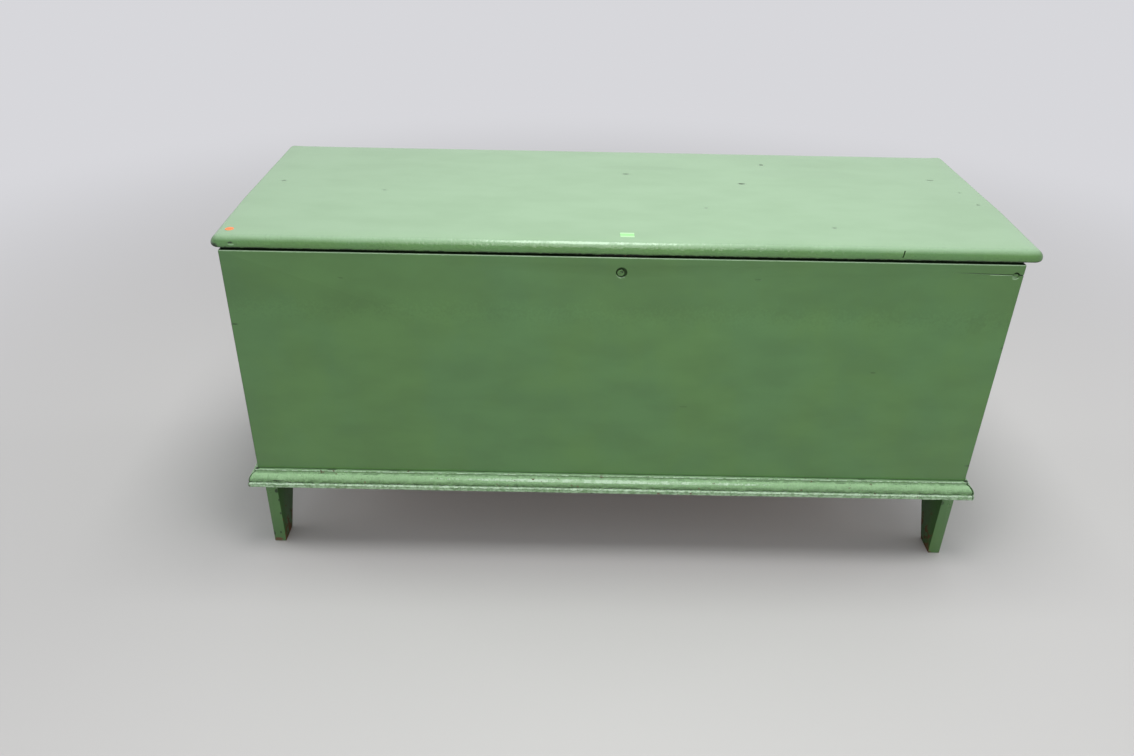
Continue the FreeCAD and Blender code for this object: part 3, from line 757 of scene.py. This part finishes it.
nail_iron = rusty_iron("nail_iron", dark_iron, 0.5)
nail = cut_nail("nail")
for name, y, turn, node, nail_finish in (
        ("front_nail_group", front_low.y + punched_in, 0.0, "front_nails", board_paint),
        ("back_nail_group", back_high.y - 0.1 * mm, math.pi, "back_nails", nail_iron)):
    nails = copies(name, nail, [move(place, turn) for place in nail_places(y)])
    cover(nails, nail_finish)
    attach(nails, "case")
    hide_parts(node)
bpy.data.objects.remove(nail)


# ---- Base moulding ----
# Three lengths of planed pine moulding, mitred at the front corners and fixed with brads.
# Under many coats of paint its lower bead is lumpy and chipped, and the right mitre gapes.
profile_top = [(0, 0), (4.5, 0), (4.5, 3.0)]  # out from the boards and down, in mm
cove = ((4.5, 3.0), (6.5, 5.0), -0.59)  # from, to, and how far the round rises
swell = ((6.5, 5.0), (14.5, 19.5), 2.3)
quirk = [(13.3, 19.7), (13.3, 20.5)]
bead = ((13.3, 20.5), (16.0, 23.9), 0.85)
toe = ((16.0, 27.6), (11.8, 33.0), 1.3)
grid_step = 1.8 * mm
front_mitres = (0.4 * mm, 2.0 * mm)  # how far they gape, left and right
side_mitre = 0.05 * mm
mitre_shade_width = 1.1 * mm  # of the dark line along a mitre: painted shade in the gap, with some dirt
# The paint's unevenness: strength, size, how far out it begins, and from and to how far
# below the top, in mm.
ripples = [(1.0, 35, 6, -99, 99), (1.5, 5, 1, -99, 1), (3.2, 6, 12.5, 18.5, 27),
           (1.2, 9, 6, -99, 18.5)]
# The bead's lumps: x, z, reach and height, in mm.
lumps = [(-588, 163.5, 10, 2.0), (-560, 168, 6, 0.8), (-470, 162, 8, 1.0),
         (-250, 163, 6, 0.9), (60, 162, 7, 0.9), (235, 163, 9, 1.1), (420, 162, 7, 1.0),
         (598, 163, 9, 1.3)]


def arc(start, end, rise, steps):
    """Points along a round from start to end that stands out from its chord by rise."""
    start, end = Vector(start), Vector(end)
    chord = end - start
    half = chord.length / 2
    radius = (half * half + rise * rise) / (2 * abs(rise))
    outward = Vector((chord.y, -chord.x)).normalized() * math.copysign(1, rise)
    centre = (start + end) / 2 + outward * (abs(rise) - radius)
    spread = math.asin(min(1, half / radius))
    points = []
    for step in range(1, steps + 1):
        turn = spread * (2 * step / steps - 1)
        point = (centre + outward * radius * math.cos(turn)
                 + chord.normalized() * radius * math.sin(turn))
        points.append((point.x, point.y))
    return points


outline = [(-out * mm, moulding_top_z - down * mm) for out, down in (
    profile_top + arc(*cove, 4) + arc(*swell, 12) + quirk + arc(*bead, 6)
    + [(16.0, 25.6), toe[0]] + arc(*toe, 6) + [(0, 33.0), (0, 0)])]


def split(place, normal, keep_both=True):
    """In edit mode, cuts right through a piece along a plane, and may drop the outer part."""
    bpy.ops.mesh.select_all(action="SELECT")
    bpy.ops.mesh.bisect(plane_co=place, plane_no=normal, clear_outer=not keep_both,
                        use_fill=not keep_both)


def displace(piece, share, **settings):
    """Moves the surface of a piece, times the share that each of its corners gets."""
    group = piece.vertex_groups.new(name="share")
    for corner in piece.data.vertices:
        group.add([corner.index], share(corner.co), "REPLACE")
    change(piece, "DISPLACE", vertex_group=group.name, **settings)
    piece.vertex_groups.clear()


def ripple(piece, strength, size, wanted):
    """Moves the points that pass a test in and out along their normals by a soft pattern."""
    pattern = bpy.data.textures.new(piece.name + "_ripple", type="CLOUDS")
    pattern.noise_scale = size
    displace(piece, wanted, texture=pattern, texture_coords="LOCAL", strength=strength,
             mid_level=0.5)


def press(piece, direction, depth, share):
    """Moves the surface along one axis by depth, times the share that each corner gets."""
    displace(piece, share, direction=direction, strength=depth, mid_level=0)


def moulding_length(name, long, mitres):
    """A length along X that stands out towards -Y from the line y = 0. Each of its two mitres
    is how far it gapes, and an end with none is square."""
    top, width = moulding_top_z, -outline[1][0]
    run = long + 80 * mm  # with enough beyond each end to be cut off
    deselect()
    bpy.ops.mesh.primitive_grid_add(x_subdivisions=round(run / grid_step), y_subdivisions=1,
                                    size=run, location=(0, -width / 2, top))
    bpy.ops.transform.resize(value=(1, width / run, 1))
    piece = settle(name)
    edit(piece)
    choose(piece, "EDGE", lambda at, way: near(at.y, -width, 1e-6))
    for here, there in zip(outline[1:], outline[2:]):
        bpy.ops.mesh.extrude_edges_move(
            TRANSFORM_OT_translate={"value": (0, there[0] - here[0], there[1] - here[1])})
    bpy.ops.mesh.select_all(action="SELECT")
    bpy.ops.mesh.remove_doubles(threshold=1e-5)
    for side, gape in zip((-1, 1), mitres):
        end = side * (long / 2 - gape)
        if gape:
            split((end - side * mitre_shade_width, 0, 0), (side, 1, 0))
        split((end, 0, 0), (side, 1 if gape else 0, 0), keep_both=False)
    bpy.ops.mesh.select_all(action="SELECT")
    bpy.ops.mesh.normals_make_consistent(inside=False)
    done()
    for strength, size, out, above, below in ripples:
        ripple(piece, strength * mm, size * mm, lambda point: point.y < -out * mm
               and top - below * mm < point.z < top - above * mm)
    for x, z, reach, height in lumps:
        spot = Vector((x, z)) * mm
        press(piece, "Y", -height * mm, lambda point: (point.y < -9 * mm) * max(
            0, 1 - (point.xz - spot).length / (reach * mm)))
    smooth(piece, 50)
    return piece


rim = Vector((0, 0, moulding_top_z))
# The moulding grows paler the more it faces up: chalky dust, and painted light from above and in
# front.
thick_paint = green_enamel(
    "moulding_paint", flake=0.36, depth=0.7 * mm, lumpy=6.0, chalk_and_toplight_from=-0.3,
    chalk_and_toplight=(0.350, 0.580, 0.305), highlight=strong_highlight_green, marks=(
        # painted shade: a dark line in the quirk above the bead
        marks_from(rim, ((0, 0, -20.2), (whole, whole, 1.3), 0.45, 1.2))
        # painted shade along the seam with the board, and a painted highlight on the ledge's arris
        + marks_from(face + rim,
            ((0, -0.4, 0), (whole, 1.2, 1.2), 0.35, 0),
            ((0, -4.1, -0.4), (whole, 1.5, 1.5), -0.9, -1))
        # painted shade in the cove and on the lower swell; painted highlights on the bead, the
        # lower face and the middle of the swell
        + marks_from(rim,
            ((0, 0, -4), (whole, whole, 1.6), 0.35, 0),
            ((0, 0, -22.8), (whole, whole, 2.2), -0.9, -1.5),
            ((0, 0, -29.5), (whole, whole, 4), -0.5, 0),
            ((-10, 0, -8.5), (290, whole, 2.6), -1, -1),
            ((0, 0, -16.2), (whole, whole, 2.6), 0.25, 0))
        # a chip, and painted shade in the gaps along the seam with the board
        + marks_from(Vector(),
            ((-599, -256.5, 166.5), (12, 6, 1.2), 0.8, 2),
            ((-505, -241.5, 183), (9, 2, 1.5), 0.6, 1),
            ((-392, -241.5, 183), (12, 1.6, 1.5), 0.5, 1),
            ((440, -241.5, 183), (9, 1.6, 1.5), 0.55, 1))
        # painted shade at the inner corners of the mitres
        + marks_from(left_corner + rim, ((0, 0, 0), (4, 4, 2), 0.85, 0))
        + marks_from(right_corner + rim, ((0, 0, 0), (5, 5, 3), 0.85, 0))))


def beside_mitre(at, normal):
    """The dark line along each mitre of the front length: painted shade in the gap, with some dirt.
    """
    inwards = min(at.x - front_low.x, front_high.x - at.x) + front_low.y - at.y
    return 0 < inwards < front_mitres[at.x > 0] + mitre_shade_width


side_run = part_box("base_moulding_left")[1].y - front_low.y
side_y = front_low.y + side_run / 2
for name, long, mitres, turn, place in (
        ("moulding_front", front_high.x - front_low.x, front_mitres, 0,
         (case_middle_x, front_low.y, 0)),
        ("moulding_left", side_run, (0, side_mitre), -90, (front_low.x, side_y, 0)),
        ("moulding_right", side_run, (side_mitre, 0), 90, (front_high.x, side_y, 0))):
    piece = moulding_length(name, long, mitres)
    piece.data.transform(move(place, math.radians(turn)))
    # The line along each front mitre is painted shade in the gap, with some dirt.
    cover(piece, thick_paint, *([] if turn else [(seam_dirt_and_shade, beside_mitre)]))
    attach(piece, "case")
    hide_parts("base_" + name)

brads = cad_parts["moulding_brads"]
cover(brads, nail_iron)


# ---- Lock ----
# A half-mortise lock: an iron plate folded over the board's top edge, a pressed case with a
# sliding bolt, and a round nose in the keyhole that has been painted over with the chest.
barrel_radius = 5.6 * mm
plug_radius = 2.9 * mm
slot_turn = math.radians(32)
cam_radius = 6 * mm  # from the plug's middle to the drive pin
cam_turn = math.radians(-135)
cam_t = 2.2 * mm
cam_gap = 0.3 * mm  # between the barrel and the cam
cam_half_width = 2.5 * mm
hub_radius = 4 * mm
drive_pin_radius = 1.5 * mm
lock_round = 0.25 * mm
nose_round = 0.5 * mm
paint_inside = 9 * mm  # how deep the paint runs into the keyhole

lock_iron = rusty_iron("lock_iron", (0.034, 0.033, 0.031), 0.05)
bolt_iron = rusty_iron("bolt_iron", (0.20, 0.19, 0.18), 0.05)
for node in ("lock_plate", "lock_case", "lock_guide_posts"):
    cover(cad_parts[node], lock_iron)
for node in ("lock_bolt", "lock_spring"):
    cover(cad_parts[node], bolt_iron)

barrel_x, barrel_z = (barrel_low.x + barrel_high.x) / 2, (barrel_low.z + barrel_high.z) / 2
nose = bar_along_y("lock_nose", barrel_radius, barrel_x, barrel_z, barrel_low.y, barrel_high.y)
cut(nose, bar_along_y("bore", plug_radius + 0.05 * mm, key_x, key_z,
                      barrel_low.y - through, barrel_high.y + through, 32))
ease(nose, nose_round, 3)
smooth(nose)

plug_low, plug_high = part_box("lock_plug")
cam_y = barrel_high.y + cam_gap
cam_back = cam_y + cam_t
pin_x, pin_z = key_x - cam_radius * math.sqrt(0.5), key_z + cam_radius * math.sqrt(0.5)
plug = bar_along_y("lock_plug_turned", plug_radius, key_x, key_z, plug_low.y, cam_y, 32)
slot = block("slot", Vector((-2.3, -1, -0.6)) * mm, Vector((2.3, 3.5, 0.6)) * mm)
slot.data.transform(move((key_x, plug_low.y, key_z), slot_turn, "Y"))
cut(plug, slot)
arm = block("arm", (0, cam_y, -cam_half_width), (cam_radius, cam_back, cam_half_width))
arm.data.transform(move((key_x, 0, key_z), cam_turn, "Y"))
plug_parts = [
    plug, arm,
    bar_along_y("hub", hub_radius, key_x, key_z, cam_y - 0.01 * mm, cam_back + 0.01 * mm),
    bar_along_y("boss", cam_half_width, pin_x, pin_z, cam_y, cam_back, 32),
    bar_along_y("drive_pin", drive_pin_radius, pin_x, pin_z, cam_y, plug_high.y, 24)]
for piece in plug_parts:
    ease(piece, lock_round)
plug = join("lock_plug_turned", plug_parts)
smooth(plug)

filling = bar_along_y("keyhole_paint", keyhole_radius + 0.1 * mm, key_x, key_z,
                      front_low.y - 4 * mm, front_low.y + paint_inside)
edit(filling)
split((key_x, front_low.y + 4.2 * mm, key_z), (-0.14, -1, 0.14), keep_both=False)
done()
cut(filling, bar_along_y("nose_room", barrel_radius + 0.02 * mm, barrel_x, barrel_z,
                         front_low.y - through, front_high.y))
smooth(filling)
# The paint in the keyhole is dark as painted shade in the recess, with a painted highlight on its
# lower rim.
keyhole_shade_and_glint = green_enamel(
    "keyhole_shade_and_glint", depth=0.5 * mm, shine=0.15,
    marks=all_over(0.86) + marks_from(keyhole, ((1.5, 0, -8), (5, 3, 1.6), -0.4, 0)))
cover(filling, keyhole_shade_and_glint)
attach(filling, "case")

lock_paint = green_enamel("lock_paint", depth=0.35 * mm, marks=(
    # painted shade at the bottom of the key slot and in a dark slash across the plug's face
    marks_from(keyhole,
        ((0, 5, 0), (4, 2, 4), 0.95, 0),
        ((1.2, 2.5, 0.8), (2.2, 3, 1.3), 0.7, 1))
    + marks_from(Vector((barrel_x, barrel_low.y, barrel_z)),
        ((-2.6, 0, -0.8), (0.9, 1, 0.8), 0.5, 2),
        ((-0.4, 0, -3.4), (1.2, 1, 0.6), 0.5, 2))))
brass, brass_tree, brass_shader, brass_place = material("lock_brass")
tarnish = noise(brass_tree, brass_place["Object"], 240, 3.0)
feed(brass_tree, brass_shader.inputs, {
    "Base Color": tint(brass_tree, tarnish, (0.33, 0.22, 0.07), (0.10, 0.07, 0.03)),
    "Roughness": between(brass_tree, tarnish, 0.3, 0.7, 0.3, 0.6), "Metallic": 1.0})
cover(nose, lock_paint, (brass, lambda at, normal: at.y > barrel_low.y + 3 * mm))
cover(plug, lock_paint, (brass, lambda at, normal: at.y > cam_y - 1 * mm))
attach(nose, "case")
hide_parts("lock_barrel")
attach(plug, "key_plug")
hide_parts("lock_plug")


# ---- Lid ----
# One wide pine board, planed to a roll along its upper edge, with rounded corners. It is
# painted above and round the edge, and bare underneath inside the line of the case.
lid_corner = 18 * mm
lid_roll = 15.4 * mm
end_roll = 8 * mm  # the ends are rolled less than the front
lid_under = 4 * mm
shoulder_width = 33 * mm  # the top falls away softly towards the roll
shoulder_drop = 3.0 * mm
shoulder_lines = (16.5 * mm, 20 * mm, 24 * mm, 28 * mm)  # rows of points that draw its curve
lid_fields = (90, 24)  # along and across, so that the board can ripple
end_share_from, end_share_over = 12 * mm, 170 * mm  # where the tighter roll takes over
end_fade = 90 * mm  # how far in from an end the tighter roll moves the top
bare_margin = 36 * mm
check_lean = math.radians(20)
knuckle_radius = 4.3 * mm
knuckle_room = 0.5 * mm
pin_inset = 3.8 * mm  # from the edges of a hinge leaf's box to the pin's middle

lid_low, lid_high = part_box("lid_board")
lid = block("lid", lid_low, lid_high)
edit(lid)
bevel(lid, lambda at, way: abs(way.z) > square, lid_corner, 10)
bevel(lid, lambda at, way: near(at.z, lid_high.z), lid_roll, 12)
bevel(lid, lambda at, way: near(at.z, lid_low.z), lid_under, 4)
for axis, count in enumerate(lid_fields):
    span = lid_high[axis] - lid_low[axis]
    lines = [step * span / count for step in range(1, count)]
    for inset in (*shoulder_lines, shoulder_width, bare_margin):
        lines += [inset, span - inset]
    for line in lines:
        split([lid_low[way] + (line if way == axis else 0) for way in range(3)],
              [1.0 if way == axis else 0.0 for way in range(3)])
done()

for node in ("hinge_case_leaf_left", "hinge_case_leaf_right"):
    leaf_low, leaf_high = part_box(node)
    pin_y, pin_z = leaf_high.y - pin_inset, leaf_high.z - pin_inset
    cut(lid, round_bar("gain", knuckle_radius, (leaf_low.x - knuckle_room, pin_y, pin_z),
                       (leaf_high.x + knuckle_room, pin_y, pin_z), 32))

check_middle = Vector((430 * mm, lid_low.y + 1 * mm, lid_low.z + 11.5 * mm))
check = block("check", Vector((-0.9, -6, -6.5)) * mm, Vector((0.9, 5, 6.5)) * mm)
check.data.transform(move(check_middle, check_lean, "Y"))
cut(lid, check)


def end_share(point):
    """0 along the front of the lid, rising to 1 along its ends."""
    along = (point.y - lid_low.y - end_share_from) / end_share_over
    return min(1.0, max(0.0, along))


def from_end(point):
    return min(point.x - lid_low.x, lid_high.x - point.x)


def up_roll(point):
    """0 where the roll begins on the edge of the lid, rising to 1 at its top."""
    return (point.z - (lid_high.z - lid_roll)) / lid_roll


def shoulder(point):
    """How much of the shoulder's drop a point gets: all of it at the outline, none inside."""
    inwards = min(from_end(point), point.y - lid_low.y, lid_high.y - point.y)
    less = 1 - 0.7 * end_share(point) * max(0.0, 1 - from_end(point) / shoulder_width)
    return less * max(0.0, 1 - inwards / shoulder_width) ** 2 * max(0.0, up_roll(point))


def outwards(point, side):
    """How far out a point of the roll at one end goes, to make that roll smaller."""
    inwards = lid_high.x - point.x if side > 0 else point.x - lid_low.x
    fading = max(0.0, 1 - (inwards - lid_roll) / end_fade)
    share = inwards / lid_roll if inwards < lid_roll else fading
    return end_share(point) * share * (point.z > lid_low.z + 2 * mm)


def upwards(point):
    """The same, for how far up it goes."""
    share = 1 - up_roll(point) if up_roll(point) > -0.001 else 0.0
    return end_share(point) * share * max(0.0, 1 - from_end(point) / (2 * lid_roll))


press(lid, "X", lid_roll - end_roll, lambda point: outwards(point, 1))
press(lid, "X", end_roll - lid_roll, lambda point: outwards(point, -1))
press(lid, "Z", lid_roll - end_roll, upwards)
press(lid, "Z", -shoulder_drop, shoulder)
ripple(lid, 0.8 * mm, 90 * mm, lambda point: point.z > lid_low.z + 1 * mm)
ripple(lid, 0.9 * mm, 22 * mm,
       lambda point: point.y < lid_low.y + 14 * mm and point.z > lid_low.z + 2 * mm)
smooth(lid)

# The lid's top is paler where it faces up: chalky dust, and painted light from above.
lid_paint = green_enamel("lid_paint", lumpy=6.0, chalk_and_toplight_from=0.55, highlight=strong_highlight_green, marks=(
    marks_from(Vector((0, 0, lid_high.z)),
        ((-602, 28, 0), (5, 3, 4), 0.5, 0.5),
        ((-414, -13, 0), (4, 3, 4), 0.36, 0.5),
        ((14, 102, 0), (7, 4, 4), 0.5, 0.6),
        ((278, 173, 0), (5, 5, 4), 0.65, 0.8),
        ((223, 58, 0), (7, 4, 4), 0.78, 1),
        ((142, -74, 0), (4, 3, 4), 0.34, 0.5),
        ((341, -157, 0), (4, 3, 4), 0.46, 0.5),
        ((579, 98, 0), (7, 4, 4), 0.44, 0.5),
        ((610, 30, 0), (3, 3, 4), 0.42, 0.5),
        ((620, -33, -1), (4, 3, 4), 0.46, 0.5),
        ((43, 140, 0), (85, 14, 8), 0.045, 0),
        ((341, 120, 0), (110, 30, 8), 0.035, 0),
        ((380, 190, 0), (70, 30, 8), 0.035, 0))
    # a chip at the left front corner, dark above with a painted highlight below it; and painted
    # shade along the underside of the front edge
    + marks_from(Vector((0, lid_low.y, lid_low.z)),
        ((-614, 0, 9.2), (4.5, 4, 1.6), 0.8, 1),
        ((-613, 0, 6.4), (5, 4, 1.2), -0.25, 0),
        ((0, 3, 0.6), (whole, 6, 2.7), 0.95, 0))
    # painted highlight: pale flecks along the top of the front roll
    + marks_from(Vector((0, lid_low.y, lid_high.z)), ((-60, 8, -2), (190, 4, 2.5), -0.6, -1))
    + marks_from(lid_low, ((6, 5, 1), (14, 10, 7), 0.92, 2))))


def in_check(at, normal):
    return ((at - check_middle).length < 9 * mm and at.y > lid_low.y + 0.5 * mm
            and (abs(normal.x) > 0.8 or normal.y < -0.85 and at.y > check_middle.y + 3 * mm))


def inside_line(at, normal):
    """The underside, inside the line of the case."""
    return (normal.z < -square and lid_low.x + bare_margin < at.x < lid_high.x - bare_margin
            and lid_low.y + bare_margin < at.y < lid_high.y - bare_margin)


# The check in the roll is painted dark as shade inside it.
cover(lid, lid_paint, (seam_dirt_and_shade, in_check),
      # the underside margin outside the case line, darkened with dirt and painted shade
      (dirty_shaded_underside, lambda at, normal: normal.z < -square and at.z < lid_low.z + 1 * mm),
      (level_pine, inside_line))
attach(lid, "lid")
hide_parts("lid_board")


# ---- Stickers ----
# Two plain stickers on the lid: a round orange one at the left front corner, and a small
# green one with lighter edges near the middle of the front.
sticker_t = 0.15 * mm
sunk = 0.3 * mm  # so that the uneven lid leaves no gap under them
dot_radius = 6.8 * mm
label_half_x, label_half_y = 11 * mm, 8.5 * mm


def sticker_paper(name, inner, edge, middle_y, reach):
    """Smooth coloured paper. Its long edges, which lie at a reach from its middle, are lighter."""
    made, tree, shader, place = material(name)
    from_middle = maths(tree, "SUBTRACT", one_axis(tree, place["Object"], "Y"), middle_y)
    away = maths(tree, "ABSOLUTE", from_middle)
    colour = tint(tree, between(tree, away, reach * 0.45, reach * 0.75), inner, edge)
    fibres = noise(tree, place["Object"], 700)
    shade = between(tree, fibres, 0.3, 0.7, 0.93, 1.03)
    surface(tree, shader, fibres, 0.03 * mm,
            {"Base Color": shaded(tree, colour, shade), "Roughness": 0.55})
    return made


dot_middle = Vector((-623 * mm, -209.5 * mm, lid_high.z - 0.1 * mm))
dot = round_bar("orange_sticker", dot_radius, dot_middle - Vector((0, 0, sunk)),
                dot_middle + Vector((0, 0, sticker_t)), 40)
label_middle = Vector((2.5 * mm, -204 * mm, lid_high.z))
label = block("green_sticker", label_middle - Vector((label_half_x, label_half_y, sunk)),
              label_middle + Vector((label_half_x, label_half_y, sticker_t)))
orange_paper = sticker_paper("orange_paper", (0.90, 0.25, 0.08), (0.90, 0.30, 0.11),
                             dot_middle.y, 10 * mm)
green_paper = sticker_paper("green_paper", (0.30, 0.70, 0.26), (0.48, 0.80, 0.43),
                            label_middle.y, label_half_y)
for piece, paper in ((dot, orange_paper), (label, green_paper)):
    ease(piece, 0.06 * mm, 1)
    cover(piece, paper)
    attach(piece, "lid")


# ---- Hinges ----
# Two iron butt hinges. One leaf lies on the back board's edge and the other under the lid,
# and the knuckles stand clear behind the case.
hinge_iron = rusty_iron("hinge_iron", (0.075, 0.070, 0.066), 0.35)
for side in ("left", "right"):
    for part in ("hinge_case_leaf_", "hinge_lid_leaf_", "hinge_pin_"):
        cover(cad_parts[part + side], hinge_iron)
cover(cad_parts["staple_plate"], lock_iron)


# ---- Screws ----
# Slotted wood screws with flat countersunk heads, in the hinges, the lock plate and the
# staple plate.
screw_head_radius = 3.2 * mm
screw_shank_radius = 1.7 * mm
screw_rim = 0.3 * mm
screw_lengths = (1.5 * mm, 8 * mm, 4.2 * mm)  # of the sunk head, the shank and the point
screw_point_share = 0.15  # of the shank's width, left at its point
first_spin, spin = math.radians(37), math.radians(61)  # no two slots stand alike
screw_inset = 5 * mm
staple_screw_inset = 7 * mm
screw_sink = 1.8 * mm  # from a leaf's far face to the face of the head
leaf_stagger = 1 * mm

screw_steel = rusty_iron("screw_steel", (0.28, 0.27, 0.26), 0.12)


def slotted_screw(name):
    """A screw that points along -Z, with the face of its head at the origin."""
    deselect()
    bpy.ops.mesh.primitive_cylinder_add(vertices=20, radius=screw_head_radius,
                                        depth=screw_rim, location=(0, 0, -screw_rim / 2))
    screw = settle(name)
    edit(screw)
    head, shank, point = screw_lengths
    shrink = screw_shank_radius / screw_head_radius
    choose(screw, "FACE", lambda at, normal: normal.z < -square)
    extrude(0, 0, -head)
    bpy.ops.transform.resize(value=(shrink, shrink, 1))
    extrude(0, 0, -shank)
    extrude(0, 0, -point)
    bpy.ops.transform.resize(value=(screw_point_share, screw_point_share, 1))
    done()
    cut(screw, block("slot", Vector((-4, -0.45, -0.9)) * mm, Vector((4, 0.45, 1)) * mm))
    ease(screw, 0.12 * mm, 1)
    smooth(screw)
    return screw


def hinge_screw_places(part, top):
    """Three along each of two leaves, the middle one nearer to the pin."""
    places = []
    for node in (part + "_left", part + "_right"):
        leaf_low, leaf_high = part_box(node)
        row_y = (leaf_low.y + leaf_high.y - 2 * pin_inset - 0.5 * mm) / 2
        step = (leaf_high.x - leaf_low.x) / 3
        z = leaf_low.z + screw_sink if top else leaf_high.z - screw_sink
        places += [((leaf_low.x + leaf_high.x) / 2 + index * step,
                    row_y + (-leaf_stagger if index else leaf_stagger), z)
                   for index in (-1, 0, 1)]
    return places


def drive(name, node, places, turned, body):
    """Screws of one group, turned from pointing down to the way that they are driven."""
    made = copies(name, screw, [
        move(place) @ turned @ Matrix.Rotation(first_spin + spin * index, 4, "Z")
        for index, place in enumerate(places)])
    cover(made, screw_steel)
    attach(made, body)
    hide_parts(node)


screw = slotted_screw("screw")
pointing_down = Matrix.Identity(4)
pointing_up = Matrix.Rotation(math.pi, 4, "X")
pointing_forward = Matrix.Rotation(math.radians(-90), 4, "X")
plate_low, plate_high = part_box("lock_plate")
staple_low, staple_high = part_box("staple_plate")
drive("case_hinge_screws", "hinge_case_screws", hinge_screw_places("hinge_case_leaf", True),
      pointing_down, "case")
drive("lid_hinge_screws", "hinge_lid_screws", hinge_screw_places("hinge_lid_leaf", False),
      pointing_up, "lid")
drive("lock_plate_screws", "lock_screws",
      [(x, plate_high.y, z) for x in (plate_low.x + screw_inset, plate_high.x - screw_inset)
       for z in (plate_low.z + screw_inset, front_high.z - 2 * screw_inset)],
      pointing_forward, "case")
drive("staple_plate_screws", "staple_screws",
      [(x, (plate_low.y + plate_high.y) / 2, plate_high.z)
       for x in (staple_low.x + staple_screw_inset, staple_high.x - staple_screw_inset)],
      pointing_up, "lid")
bpy.data.objects.remove(screw)


# ---- Floor, light and camera ----
# A plain pale floor that runs out of sight, soft lamps above and in front, and a camera that
# stands a little to the left and looks down at the chest.
eye = Vector((-89.4, -1585.1, 1164.9)) * mm
look_at = Vector((-88.3, -240.5, 380.2)) * mm
roll = math.radians(1.10)
floor_size = 40
wall_from, wall_full = 1.0, 3.0  # how far off the floor begins to fade, and is all wall
pale_floor = (0.56, 0.55, 0.54)
pale_wall = (0.68, 0.68, 0.71)
room_light = (0.45, 0.46, 0.48)

deselect()
bpy.ops.mesh.primitive_plane_add(size=floor_size, location=(0, 0, 0))
floor = settle("floor")
floor_finish, floor_tree, floor_shader, floor_place = material("floor_finish")
feed(floor_tree, floor_shader.inputs, {"Base Color": (*pale_floor, 1), "Roughness": 0.9,
                                       "Specular IOR Level": 0.1})


def seen_directly(tree):
    """1 for what the camera sees, straight or in a mirror or glass, and 0 for light."""
    ray = tree.nodes.new("ShaderNodeLightPath").outputs
    seen = maths(tree, "MAXIMUM", ray["Is Camera Ray"], ray["Is Glossy Ray"])
    return maths(tree, "MAXIMUM", seen, ray["Is Transmission Ray"])


away = length(floor_tree, floor_place["Object"])
far = maths(floor_tree, "MULTIPLY", between(floor_tree, away, wall_from, wall_full),
            seen_directly(floor_tree))
glow = put(floor_tree, "Emission", {"Color": (*pale_wall, 1), "Strength": 1.0})
faded = put(floor_tree, "MixShader", {0: far, 1: floor_shader.outputs[0], 2: glow.outputs[0]})
feed(floor_tree, floor_tree.nodes["Material Output"].inputs, {"Surface": faded.outputs[0]})
cover(floor, floor_finish)

scene = bpy.context.scene
scene.world = bpy.data.worlds.new("studio")
scene.world.use_nodes = True
sky = scene.world.node_tree
feed(sky, sky.nodes["Background"].inputs,
     {"Color": tint(sky, seen_directly(sky), room_light, pale_wall)})


def lamp(name, place, aim, size, power, mirrored=True, lighting=True):
    """A soft rectangular lamp, which may be left out of reflections or give nothing else."""
    light = bpy.data.lights.new(name, "AREA")
    light.shape = "RECTANGLE"
    light.size, light.size_y = size
    light.energy = power
    holder = bpy.data.objects.new(name, light)
    holder.location = place
    holder.rotation_euler = (Vector(aim) - Vector(place)).to_track_quat("-Z", "Y").to_euler()
    holder.visible_camera = False
    holder.visible_glossy = mirrored
    holder.visible_diffuse = lighting
    scene.collection.objects.link(holder)


lamp("overhead", (0.05, -0.35, 2.5), (0.05, -0.3, 0.6), (0.85, 1.2), 34, mirrored=False)
lamp("back_sheen", (0.0, 0.8, 2.5), (0, -0.24, 0.6), (0.8, 0.7), 11, lighting=False)
lamp("front_sheen", (0.0, -1.1, 2.5), (0.0, -0.24, 0.4), (0.7, 0.4), 8, lighting=False)
lamp("back_overhead", (0.8, 0.6, 2.4), (0.3, 0, 0.6), (1.2, 1.2), 7, mirrored=False)
lamp("front_softbox", (0.1, -3.2, 0.8), (0.08, -0.24, 0.34), (1.8, 1.2), 36, mirrored=False)
lamp("left_fill", (-3.4, 0.6, 1.7), (0, 0, 0.35), (1.6, 1.6), 22, mirrored=False)
lamp("right_fill", (3.4, 0.6, 1.7), (0, 0, 0.35), (1.6, 1.6), 22, mirrored=False)

camera = bpy.data.objects.new("camera", bpy.data.cameras.new("camera"))
camera.data.lens = 29.525
camera.data.sensor_width = 36
camera.location = eye
camera.rotation_euler = ((look_at - eye).to_track_quat("-Z", "Y")
                         @ Matrix.Rotation(roll, 3, "Z").to_quaternion()).to_euler()
scene.collection.objects.link(camera)
scene.camera = camera
scene.view_settings.view_transform = "Standard"
